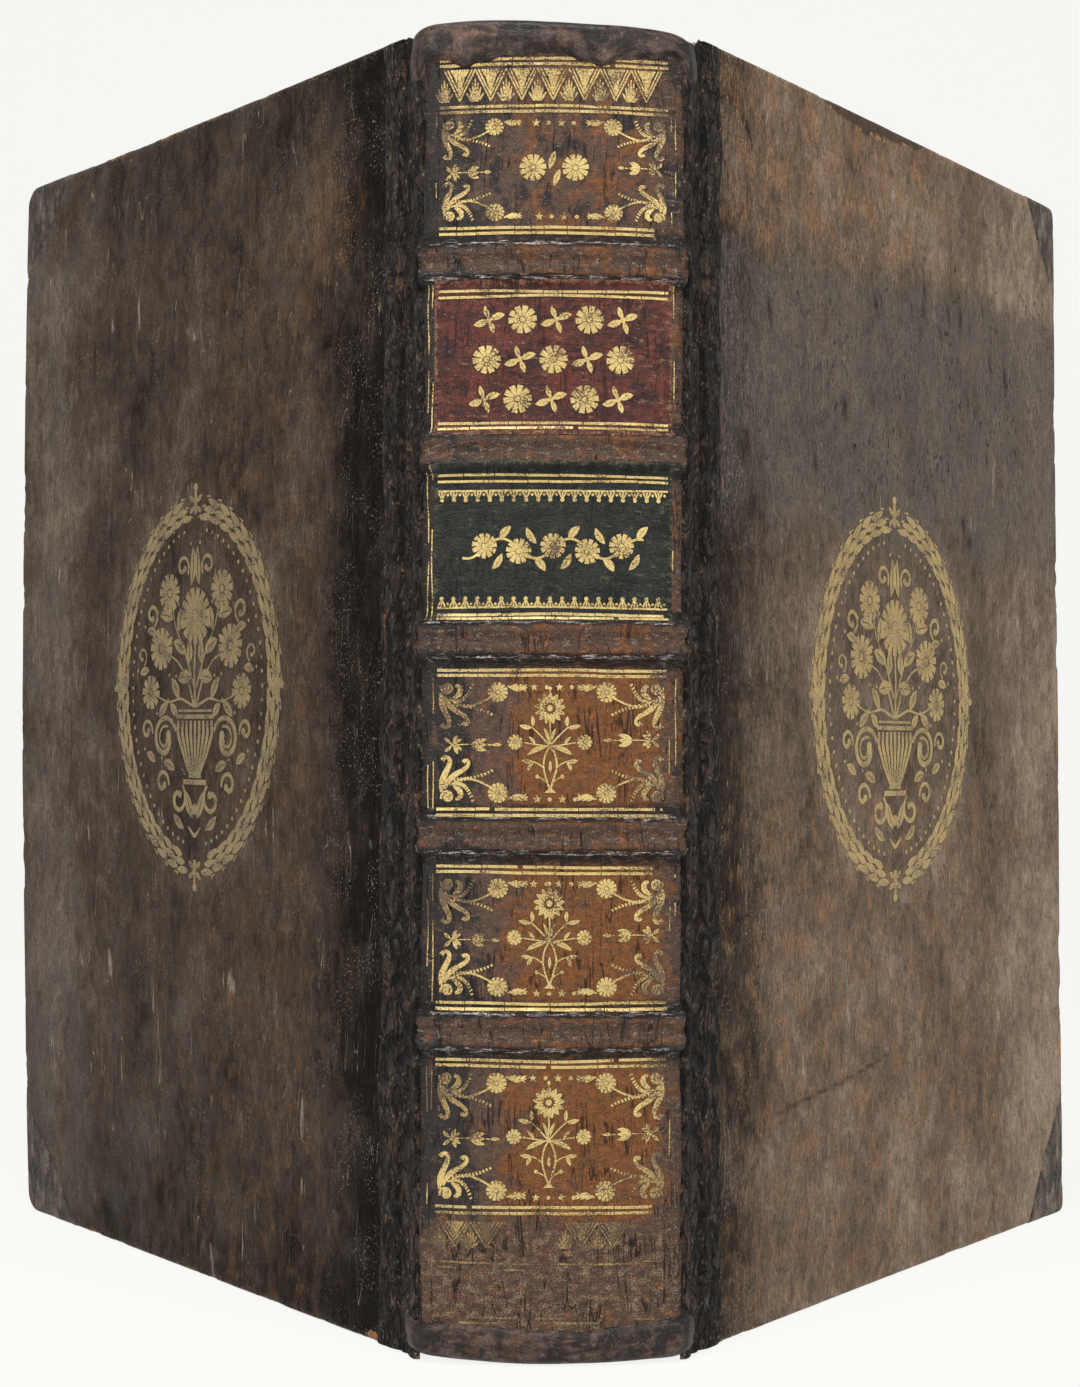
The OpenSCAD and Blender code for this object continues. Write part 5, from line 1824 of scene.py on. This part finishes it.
    def side_bud(self, tool: Tooling) -> None:
        """A tulip on a cluster of leaves, pointing to the middle."""
        for turn in (-62, -30, 30, 62, 140, -140):
            way = np.array([cos(radians(turn)), sin(radians(turn))])
            tool.leaf((3.4 + 0.4 * way[0], 0.4 * way[1]), (3.4 + 2.7 * way[0], 2.7 * way[1]), 1.0, 0.12)
        tool.disc(3.4, 0, 0.5)
        tool.stroke([(4.0, 0), (8.2, 0.1)], 0.3)
        for lean in (-0.55, 0.0, 0.55):
            tool.leaf((8.3, lean * 0.6), (11.9, lean * 2.4), 1.25, 0.1 * np.sign(lean))
        tool.stroke([(12.2, 0), (13.1, 0)], 0.3)
        tool.leaf((13.2, 0), (15.6, 0.05), 0.95)

    def plant(self, tool: Tooling) -> None:
        """The plant in the middle: a pointed flower, two florets and crossing stems."""
        tool.flower(0, 9.4, 3.95, 13, pointed=True)
        tool.stroke([(0, 13.2), (0, 14.0)], 0.25)
        tool.disc(0, 14.3, 0.5)
        tool.stroke([(0, 6.6), (0.1, 3.0), (-0.2, 0.4)], 0.36)
        tool.stroke([(-0.4, 1.0), (1.3, -1.8), (1.9, -5.0), (0.7, -8.8), (0.1, -10.8)], 0.5)
        tool.stroke([(0.5, 1.0), (-1.3, -2.2), (-1.7, -5.2), (-0.7, -8.8), (0.1, -10.8)], 0.45)
        for side in (-1, 1):
            own = tool.at(0, 0, side)
            own.stroke([(0.2, 0.3), (2.6, 3.0), (4.5, 4.7)], [0.45, 0.4, 0.3])
            own.leaf((4.3, 4.6), (7.6, 5.2), 1.25, -0.12)
            own.leaf((4.3, 4.8), (4.4, 7.5), 1.1, 0.15)
            own.leaf((0.4, 1.2), (1.5, 4.5), 0.85, 0.15)
            own.stroke([(0.4, 0.0), (3.4, 0.4), (6.4, 0.9)], 0.34)
            own.leaf((3.6, 0.5), (5.2, 2.4), 0.85, 0.1)
            own.leaf((0.8, -0.2), (5.6, -2.2), 1.35, 0.18)
            own.flower(8.6, 1.0, 1.85, 10)
            own.stroke([(1.7, -5.2), (3.2, -4.0), (4.3, -3.8)], 0.34)
            own.leaf((4.2, -3.8), (7.0, -3.5), 1.1, -0.1)
            own.leaf((4.2, -3.9), (5.4, -6.1), 1.05, 0.12)
            own.stroke([(0.7, -8.9), (1.6, -8.1), (2.8, -7.6)], 0.3)
            own.disc(3.1, -7.5, 0.5)
        tool.leaf((0.1, -6.6), (0.1, -3.6), 0.9)
        tool.stroke([(0.1, -10.2), (0.1, -11.5)], [0.3, 2.9])

    def row(self, tool: Tooling, z: float, shift: float) -> None:
        """Stars and dots in turn between two leaves."""
        for k in range(4):
            a = shift - 4.6 + 3.1 * k
            if k % 2:
                tool.disc(a, z, 0.52)
            else:
                tool.disc(a, z, 1.1, 10, 0.42)

    def compartment(self, tool: Tooling, low: float, high: float, planted: bool, seed: int) -> None:
        """All the tooling inside the fillets of one compartment.

        Args:
            tool: tooling that it is added to.
            low: height of the lower fillet.
            high: height of the upper fillet.
            planted: whether the plant is in its middle.
            seed: which waver it has.
        """
        middle, tall, flank, full_tall = (low + high) / 2, high - low, 28.2, 32.6
        fit = min(1.0, tall / full_tall)
        spray_wide, bud_wide = (0.97, 1.0) if planted else (0.88, 0.8)
        for side in (-1, 1):
            for end, edge in ((1, low + 0.5), (-1, high - 0.5)):
                waver = 0.35 * (draw(seed, side + 3.0 * end, 1.0) - 0.5)
                corner = (side * flank + waver, edge + 0.4 * waver)
                self.spray(tool.at(*corner, -side * spray_wide, end * fit * 0.96))
            self.side_bud(tool.at(side * flank, middle + 0.6 * side, -side * bud_wide))
        self.row(tool, high - 2.4, 0.1)
        self.row(tool, low + 2.1, 0.9)
        if planted:
            self.plant(tool.at(-0.6, middle - 0.9))
        else:
            for a in (-5.29, 5.29):
                tool.flower(a, middle + 0.4, 3.3, 11)
            tool.leaf((-1.2, middle), (0.2, middle + 4.6), 1.7)
            tool.leaf((1.4, middle), (-0.1, middle - 4.2), 1.7)

    def uprights(
        self,
        tool: Tooling,
        low: float,
        high: float,
        seed: float,
        places: tuple[float, ...] = (-31.0, -29.7, 29.5, 30.8),
        lost_left: float = 0.62,
        lost_right: float = 0.72,
    ) -> None:
        """Broken lines up both sides of a compartment, the first two of them on the left.

        Args:
            tool: tooling that they are added to.
            low: lower end.
            high: upper end.
            seed: which breaks they have.
            places: where each line is round the back.
            lost_left: share of the left lines that is gone.
            lost_right: share of the right lines that is gone.
        """
        for k, s in enumerate(places):
            place = low
            step = 0
            while place < high:
                long = 3.5 + 9 * draw(step, seed + k, 4.0)
                kept = draw(step, seed + k, 6.0) > (lost_left if k < 2 else lost_right)
                top = min(place + long, high)
                if kept and top - place > 1:
                    z = np.linspace(place, top - 0.3, 8)
                    tool.stroke(np.stack([s + 0.5 * (value_noise(z / 9, k, 3) - 0.5), z], axis=-1), 0.32)
                place = top
                step += 1

    def leather_gilt(self, material: bpy.types.Material) -> None:
        """Builds the gold that lies on the leather itself."""
        fillets = Tooling(self.on_leather, self.wear)
        for k, pair in enumerate(FILLET_PAIRS):
            stop = self.right - (3.5 if k % 3 == 2 else 0)
            for n, z in enumerate(pair):
                self.rule(fillets, z, self.left, stop, self.fillet, k + 0.3 * n)
        for k, (z, start, stop) in enumerate(WORN_FILLETS):
            self.rule(fillets, z, start, stop, 0.5, 50.0 + k)
        for k, (low, high) in enumerate(GILT_SIDES):
            self.uprights(fillets, low, high, 20.0 + 7 * k)
        for k, (low, high) in enumerate(LABEL_SIDES):
            self.uprights(fillets, low, high, 61.0 + 7 * k, (-31.4, -30.2, 30.2), lost_left=0.3)
        self.settle(fillets, "spine_fillet_lines", material, "spine_fillets")
        rolls = Tooling(self.on_leather, self.wear)
        self.roll(rolls, 312.7, 320.9, 0.0)
        self.roll(rolls, 28.7, 35.2, 0.55)
        self.settle(rolls, "spine_roll_bands", material, "spine_rolls")
        for number, (low, high) in zip((1, 4, 5, 6), self.fields):
            tool = Tooling(self.on_leather, self.wear)
            self.compartment(tool, low, high, number != 1, number)
            self.settle(tool, f"compartment_{number}_tooling", material, f"compartment_gilt_{number}")

    def label_gilt(self, material: bpy.types.Material) -> None:
        """Builds the gold on the two labels."""
        tool = Tooling(self.on_label(self.title))
        for k, z in enumerate(TITLE_LINES):
            self.rule(tool, z, self.left, self.right, 0.66, 30.0 + k)
        middle, row_pitch, pitch = 248.2, 9.9, 8.3
        for row in (-1, 0, 1):
            for i in range(-2, 3):
                own = tool.at(i * pitch + 0.6 * row, middle + row * row_pitch)
                if (i + row) % 2 == 0:
                    own.flower(0, 0, 3.5, 10)
                else:
                    for side in (-1, 1):
                        own.leaf((0.3 * side, 0), (3.9 * side, 1.3 * side), 1.9, 0.15)
                        own.leaf((0, 0.3 * side), (-1.1 * side, 3.4 * side), 1.4, 0.1)
                    own.disc(0, 0, 0.7)
        self.settle(tool, "title_label_tooling", material, "label_gilt")
        tool = Tooling(self.on_label(self.second))
        for k, (z, width) in enumerate(SECOND_LINES):
            self.rule(tool, z, self.left, self.right, width, 40.0 + k)
        for a in np.arange(self.left + 1.2, self.right, 3.0):
            for end, z in ((-1, 215.3), (1, 186.8)):
                for lean in (-0.9, 0.0, 0.9):
                    tool.stroke([(a + lean, z), (a + 0.25 * lean, z + end * 1.5)], [0.5, 0.3])
                tool.disc(a, z + end * 2.0, 0.55, 8)
                tool.disc(a + 1.5, z + end * 0.7, 0.36, 8)
        middle, pitch = 201.2, 8.5
        x = np.linspace(-22.5, 22.5, 60)
        tool.stroke(np.stack([x, middle + 2.6 * np.sin(x * pi / pitch)], axis=-1), 0.6)
        for i in range(-2, 3):
            lean = 1 if i % 2 == 0 else -1
            tool.flower(i * pitch, middle + 3.4 * lean * 0.2, 3.1, 11)
            a = i * pitch
            tool.leaf((a + 3.9, middle + 2.3 * lean), (a + 6.6, middle + 5.6 * lean), 2.1, 0.15)
            tool.leaf((a + 4.4, middle - 1.2 * lean), (a + 1.9, middle - 5.2 * lean), 1.9, 0.15)
        self.settle(tool, "second_label_tooling", material, None)

    def settle(self, tool: Tooling, name: str, material: bpy.types.Material, node: str | None) -> None:
        """Makes the laid gold on the book's body. The two labels share one CAD node."""
        put(tool.skin().make(name, material), "book", node, "gold_leaf")


# Leaves on one side of the vase: root, tip and width.
VASE_LEAVES = (
    ((2.0, 3.0), (9.5, 2.2), 3.2), ((5.2, 9.6), (12.2, 13.4), 3.0), ((3.4, 6.8), (3.6, 13.6), 2.6),
    ((9.6, 16.2), (8.2, 23.2), 2.8), ((12.4, 20.0), (20.2, 21.4), 2.8), ((9.0, -3.4), (13.4, 2.6), 2.6),
    ((10.0, -8.8), (14.0, -4.8), 2.3), ((15.4, -4.6), (20.5, -8.6), 2.4), ((22.0, 15.8), (27.6, 17.2), 2.2),
    ((26.4, 5.2), (31.8, 4.2), 2.2), ((4.6, -30.2), (1.0, -38.0), 2.6), ((11.4, -24.2), (17.6, -21.8), 2.4),
    ((2.2, 29.4), (1.4, 40.6), 2.6), ((12.0, -37.0), (6.0, -41.0), 2.2), ((22.6, -22.0), (27.6, -19.2), 2.2),
)
# Scrolls on one side of the vase: centre, radius, first and last angle in degrees, and width.
VASE_SCROLLS = (
    (17.2, -15.2, 7.2, 160, -210, 1.9), (17.2, -15.2, 4.2, 120, -160, 1.1),
    (27.5, -12.6, 3.4, 200, -170, 1.4), (9.2, -32.5, 4.6, 120, 480, 1.6),
    (18.5, -28.0, 3.9, 190, -150, 1.5), (24.8, 21.5, 3.6, 250, -110, 1.4),
    (30.5, 9.5, 2.9, 250, -90, 0.85), (7.0, 35.0, 3.6, 220, -150, 1.3),
)
# Side stems of the bouquet: line, widths, and the centre, radius and petals of the flower at the end.
VASE_STEMS = (
    (((0.4, -6), (4.0, 2), (9.6, 7.5), (14.5, 9.5)), (1.0, 0.9, 0.7, 0.6), (19.2, 11.4, 6.2, 12)),
    (((0.6, 0), (5.0, 9.0), (11.0, 17.5), (13.0, 23.5)), (0.9, 0.8, 0.6, 0.5), (14.6, 27.6, 5.7, 11)),
    (((1.0, -5.5), (8.0, -3.2), (15.0, -4.5), (21.5, -2.6)), (0.9, 0.8, 0.6, 0.5), (25.3, -1.4, 5.0, 10)),
)


@dataclass
class OvalGilding:
    """The laurel oval on one cover, with a vase of flowers inside it."""

    cover: CoverForm
    middle_u: float
    middle_z: float
    half_wide: float = 46.2
    half_tall: float = 54.9
    band: float = 6.8
    lift: float = 0.1

    def lay(self, a: Array, b: Array) -> Array:
        """Lays flat places on the cover's outer face."""
        u, z = self.middle_u + a, self.middle_z + b
        return self.cover.place(u, -self.cover.relief(u, z) - self.lift, z)

    def ring(self, inset: float, turn: float) -> tuple[float, float]:
        """Place on an ellipse at an inset from the outer one, at an angle in degrees."""
        a = radians(turn)
        return (self.half_wide - inset) * cos(a), (self.half_tall - inset) * sin(a)

    def laurel(self, tool: Tooling) -> None:
        """Overlapping leaves all round, from the foot to the top on both sides."""
        pitch = 7.9
        for side in (-1, 1):
            own = tool.at(0, 0, side)
            for t in np.arange(-85, 79, pitch):
                for shift, inset, swing in ((0.0, 1.5, -0.9), (0.34, 3.5, 0.0), (0.67, 5.5, 0.9)):
                    start = t + shift * pitch
                    steps = np.linspace(0, 1, 7)
                    line = [self.ring(inset + swing * k * k, start + pitch * 1.02 * k) for k in steps]
                    own.stroke(line, [0.7, 2.0, 2.25, 2.1, 1.5, 0.3])
                    root = self.ring(inset - 1.0 + swing, start + pitch * 0.86)
                    tip = self.ring(inset - 0.6 + swing * 1.2, start + pitch * 1.24)
                    own.stroke([root, tip], [0.9, 0.2])

    def finials(self, tool: Tooling) -> None:
        """Small ties at the four ends of the oval."""
        for end in (-1, 1):
            own = tool.at(0, end * (self.half_tall - 1.5), 1, end)
            own.stroke([(0, -3.6), (0, 1.5), (0, 3.4)], [1.6, 2.2, 1.0])
            own.disc(0, 4.3, 1.2)
            for side in (-1, 1):
                own.leaf((side * 0.6, 0), (side * 3.4, 2.0), 1.7, -0.1 * side)
                own.leaf((side * 0.6, -1.5), (side * 3.2, -3.2), 1.6, 0.1 * side)
            own = tool.at(end * (self.half_wide - 2.6), 0, end)
            own.disc(0, 0, 2.6, 16)
            for up in (-1, 1):
                own.stroke([(-2.6, up * 4.2), (0, up * 3.4), (2.6, up * 4.2)], 0.9)
            own.disc(3.4, 0, 1.1)

    def bouquet(self, tool: Tooling) -> None:
        """A fluted vase with scrolls, leaves and flowers."""
        for k in np.linspace(-1, 1, 9):
            line = [(k * 2.6, -25.6), (k * 6.2, -20.0), (k * 9.6, -13.5), (k * 9.2, -9.8)]
            tool.stroke(line, [0.7, 1.1, 1.5, 1.3])
        for z, half, width in ((-27.5, 6.4, 1.5), (-25.9, 3.4, 0.8), (-8.6, 10.6, 1.2), (-6.9, 9.4, 0.7)):
            tool.stroke([(-half, z), (half, z)], width)
        for k in np.linspace(-9, 9, 9):
            tool.disc(k, -11.2, 0.62)
        tool.stroke([(0, -6), (0.5, 4), (0, 14)], 1.0)
        tool.flower(0, 20.5, 8.2, 15)
        tool.flower(0, 20.5, 4.2, 10, pointed=True)
        for side in (-1, 1):
            own = tool.at(0, 0, side)
            for line, widths, flower in VASE_STEMS:
                own.stroke(line, widths)
                own.flower(*flower)
            for scroll in VASE_SCROLLS:
                own.curl(*scroll)
            for root, tip, width in VASE_LEAVES:
                own.leaf(root, tip, width * 1.35, 0.12)
                own.disc(tip[0] + 1.2, tip[1] + 1.0, 0.55, 8)
            for t in np.arange(-80, 81, 5.0):
                own.disc(*self.ring(self.band + 2.6, t), 0.62, 8)
        tool.stroke([(-3.4, -40.5), (0, -43.4), (3.4, -40.5)], [0.6, 1.3, 0.6])
        tool.disc(0, -35.4, 1.7)

    def build(self, material: bpy.types.Material, slot: str) -> bpy.types.Object:
        """Makes the oval in place of its CAD node."""
        tool = Tooling(self.lay)
        self.laurel(tool)
        self.finials(tool)
        self.bouquet(tool)
        skin = tool.skin()
        if self.cover.side is Side.BACK:
            skin = skin.flipped()
        word = self.cover.side.word
        return put(skin.make(f"{word}_oval_tooling", material), f"{word}_cover", f"{word}_oval", slot)


# Stage.


@dataclass(frozen=True)
class PalePaper:
    """The backdrop: pale paper that stays light in the picture and keeps the book's shadow."""

    sheet: Colour = srgb(250, 250, 247)
    lit_share: float = 0.9

    def build(self) -> bpy.types.Material:
        """The finish."""
        b = NodeBoard("pale_paper")
        fibre = b.noise(2.0, 2.0, 91, 3, 0.6, solid=True)
        b.dress(
            Base_Color=b.shade(self.sheet, 0.97 + 0.05 * fibre), Roughness=0.9 + 0.05 * fibre,
            Normal=b.bump(fibre, 0.05, 0.3), Specular_IOR_Level=0.1,
        )
        path = b.node("ShaderNodeLightPath")
        seen = Term(b, path.outputs["Is Camera Ray"]) + Term(b, path.outputs["Is Glossy Ray"])
        seen = (seen + Term(b, path.outputs["Is Transmission Ray"])).least(1.0) * self.lit_share
        glow = b.node("ShaderNodeEmission", None, {"Color": self.sheet, "Strength": 1.0})
        blend = b.node("ShaderNodeMixShader", None, {0: seen, 1: b.shader.outputs[0], 2: glow.outputs[0]})
        ending = b.tree.nodes["Material Output"]
        b.feed(ending.inputs["Surface"], blend.outputs[0])
        return b.material


@dataclass
class Studio:
    """Floor and backdrop in one sweep, soft lamps and the camera.

    The eye is in millimetres, with Y from the hinge line; the rest is in metres.
    """

    spine: SpineForm
    focal_px: float = 2166.7
    long_side_px: float = 1387.0
    sensor: float = 36.0
    eye: tuple[float, float, float] = (-8.4, -546.4, 153.5)
    tilt: tuple[float, float, float] = (-0.568, 1.265, -0.194)
    aim: tuple[float, float, float] = (0.0, -0.06, 0.16)
    sweep_start: float = -3.0
    sweep_bend: float = 1.2
    sweep_round: float = 0.9
    sweep_top: float = 4.0
    sweep_half: float = 5.0
    world_colour: tuple[float, float, float, float] = (0.95, 0.97, 1.0, 1.0)
    world_power: float = 0.22

    def camera(self) -> bpy.types.Object:
        """The camera, from a little below the middle of the spine."""
        data = bpy.data.cameras.new("camera")
        data.sensor_width = self.sensor
        data.lens = self.sensor * self.focal_px / self.long_side_px
        data.clip_start, data.clip_end = 0.01, 20
        piece = bpy.data.objects.new("camera", data)
        bpy.context.scene.collection.objects.link(piece)
        yaw, pitch, roll = (radians(a) for a in self.tilt)
        turn = (
            Matrix.Rotation(yaw, 4, "Z")
            @ Matrix.Rotation(pitch, 4, "X")
            @ Matrix.Rotation(roll, 4, "Y")
            @ Matrix.Rotation(pi / 2, 4, "X")
        )
        x, y, z = self.eye
        place = Vector((x, self.spine.hinge_y + y, z)) * MM
        piece.matrix_world = Matrix.Translation(place) @ turn
        bpy.context.scene.camera = piece
        return piece

    def sweep(self) -> bpy.types.Object:
        """The pale paper sweep under and behind the book."""
        bend, r = self.sweep_bend, self.sweep_round
        profile = [(self.sweep_start, 0.0), (bend, 0.0)]
        profile += [(bend + r * sin(a), r - r * cos(a)) for a in np.linspace(0, pi / 2, 14)[1:]]
        profile.append((bend + r, self.sweep_top))
        points = [(x, y, z) for y, z in profile for x in (-self.sweep_half, self.sweep_half)]
        faces = [(2 * i, 2 * i + 1, 2 * i + 3, 2 * i + 2) for i in range(len(profile) - 1)]
        mesh = bpy.data.meshes.new("paper_sweep")
        mesh.from_pydata(points, [], faces)
        mesh.polygons.foreach_set("use_smooth", [True] * len(faces))
        piece = bpy.data.objects.new("paper_sweep", mesh)
        bpy.context.scene.collection.objects.link(piece)
        mesh.materials.append(PalePaper().build())
        return piece

    def lamp(self, name: str, place: tuple[float, float, float], size: float, power: float) -> None:
        """A square soft lamp aimed at the middle of the book."""
        data = bpy.data.lights.new(name, "AREA")
        data.size, data.energy = size, power
        piece = bpy.data.objects.new(name, data)
        bpy.context.scene.collection.objects.link(piece)
        piece.location = place
        way = Vector(self.aim) - Vector(place)
        piece.rotation_euler = way.to_track_quat("-Z", "Y").to_euler()

    def build(self) -> None:
        """Sets the camera, the sweep, the lamps and the world."""
        self.camera()
        self.sweep()
        self.lamp("left_lamp", (-1.15, -1.25, 0.8), 0.8, 18.5)
        self.lamp("right_lamp", (1.15, -1.25, 0.8), 0.8, 18.5)
        self.lamp("top_lamp", (-0.1, -0.6, 1.4), 0.4, 12)
        world = bpy.data.worlds.new("studio")
        world.use_nodes = True
        background = world.node_tree.nodes["Background"]
        background.inputs["Color"].default_value = self.world_colour
        background.inputs["Strength"].default_value = self.world_power
        bpy.context.scene.world = world
        bpy.context.scene.view_settings.view_transform = "Standard"
        LOG.info("studio ready")


# The book.


def dress_nodes() -> None:
    """Gives the CAD shapes that stay in the picture their finishes."""
    finishes = {
        "page_edges": PageEdges().build(),
        "endpaper": OldPaper().build(),
        "hemp_cord": PlainFibre("hemp_cord", srgb(186, 164, 126), srgb(112, 88, 60), 0.5, 2.2, 0.3).build(),
        "parchment_lining": PlainFibre(
            "parchment", srgb(208, 190, 154), srgb(160, 134, 94), 7.0, 9.0, 0.12
        ).build(),
        "endband_thread": BandedThread().build(),
    }
    for node, slot in KEPT_NODES.items():
        shape = bpy.data.objects[node]
        for place in shape.material_slots:
            place.material = finishes[slot]
        LOG.info("%s keeps its CAD shape", node)


def main() -> None:
    """Builds the book, piece by piece, and the studio round it."""
    logging.basicConfig(level=logging.INFO, format="%(message)s")
    spine = SpineForm()
    Studio(spine).build()
    SpineLeather(spine).build(SpineCalf().build())
    red = LabelSkin("red_label", srgb(48, 22, 17), srgb(84, 37, 26), srgb(124, 92, 70), 0.3).build()
    green = LabelSkin("green_label", srgb(17, 19, 15), srgb(31, 35, 26), srgb(80, 76, 58), 0.8).build()
    title = SpineLabel(spine, "title_label_skin", "title_label", "red_label", 229.4, 268.0)
    second = SpineLabel(spine, "second_label_skin", "second_label", "green_label", 183.2, 222.9)
    title.build(red)
    second.build(green)
    golds = {
        "gold_leaf": (srgb(202, 178, 114), srgb(138, 110, 64), srgb(64, 48, 35), 0.11, 0.34),
        "pale_gold": (srgb(176, 151, 96), srgb(116, 95, 61), srgb(82, 68, 54), 0.05, 0.3),
        "rubbed_gold": (srgb(140, 119, 78), srgb(92, 76, 54), srgb(60, 49, 40), 0.12, 0.26),
    }
    gold, pale, dull = (GoldLeaf(name, *values).build() for name, values in golds.items())
    gilding = SpineGilding(spine, title, second)
    gilding.leather_gilt(gold)
    gilding.label_gilt(gold)
    cap_colours = srgb(34, 27, 23), srgb(74, 58, 50), srgb(94, 64, 48), srgb(142, 128, 116)
    smooth_calf = RepairCalf("cap_calf", 5.0, 1.6, 0.12, 0.72, *cap_colours).build()
    torn_calf = RepairCalf("joint_calf", 1.5, 3.4, 1.0, 0.35).build()
    SpineCap(spine, "headcap_skin", "headcap", True, 333.0, 322.6).build(smooth_calf)
    SpineCap(spine, "tailcap_skin", "tailcap", False, 0.25, 8.6).build(smooth_calf)
    front = CoverForm(Side.FRONT, spine, head_lift=-2.0, bow=(1.6, 0.25, -1.1), corner_power=6.0, seed=3.0)
    back = CoverForm(Side.BACK, spine, head_lift=2.0, bow=(-1.9, 2.1, 1.2), corner_power=2.0, seed=40.0)
    covers = (
        Cover(
            front, head_patch=(22.0, 31.0), tail_patch=(26.0, 40.0), oval=(103.4, 166.6, 46.4, 54.9),
            scratches=(((39.0, 55.0), (78.0, 60.0), 0.5), ((78.0, 60.0), (101.0, 64.6), 0.35)),
        ),
        Cover(
            back, head_patch=(30.0, 30.0), tail_patch=(35.0, 36.0), oval=(104.5, 168.6, 45.5, 55.0),
            scratches=(((10.5, 188.0), (14.0, 178.0), 0.4), ((40.0, 112.0), (54.0, 119.0), 0.3)),
        ),
    )
    leathers = {
        Side.FRONT: BoardCalf(
            "front_calf", srgb(44, 36, 29), srgb(92, 78, 66), srgb(138, 121, 104), srgb(124, 93, 66),
            srgb(88, 81, 75), 0.7, 10.0,
        ),
        Side.BACK: BoardCalf(
            "back_calf", srgb(18, 13, 10), srgb(64, 53, 44), srgb(104, 92, 80), srgb(90, 65, 44),
            srgb(72, 65, 60), 0.5, 110.0,
        ),
    }
    corners = {
        Side.FRONT: RepairCalf(
            "front_corner_calf", 3.0, 6.0, 0.25, 0.4, srgb(62, 53, 46), srgb(104, 94, 86), srgb(118, 96, 80)
        ),
        Side.BACK: RepairCalf(
            "back_corner_calf", 3.0, 6.0, 0.25, 0.4, srgb(52, 44, 38), srgb(86, 77, 70), srgb(98, 78, 64)
        ),
    }
    ovals = {Side.FRONT: (pale, "gold_leaf"), Side.BACK: (dull, "rubbed_gold")}
    board = PlainFibre("pasteboard", srgb(170, 146, 112), srgb(120, 96, 68), 3.0, 1.2, 0.3).build()
    sheet = OldPaper().build()
    for cover in covers:
        side = cover.form.side
        cover.leather(leathers[side].build())
        cover.board(board)
        cover.pastedown(sheet)
        patch_calf = corners[side].build()
        for head in (True, False):
            cover.patch(head, patch_calf)
        JointLeather(cover.form, spine_high=329.6 if side is Side.FRONT else 331.2).build(torn_calf)
        OvalGilding(cover.form, *cover.oval).build(*ovals[side])
    dress_nodes()


if __name__ == "__main__":
    main()
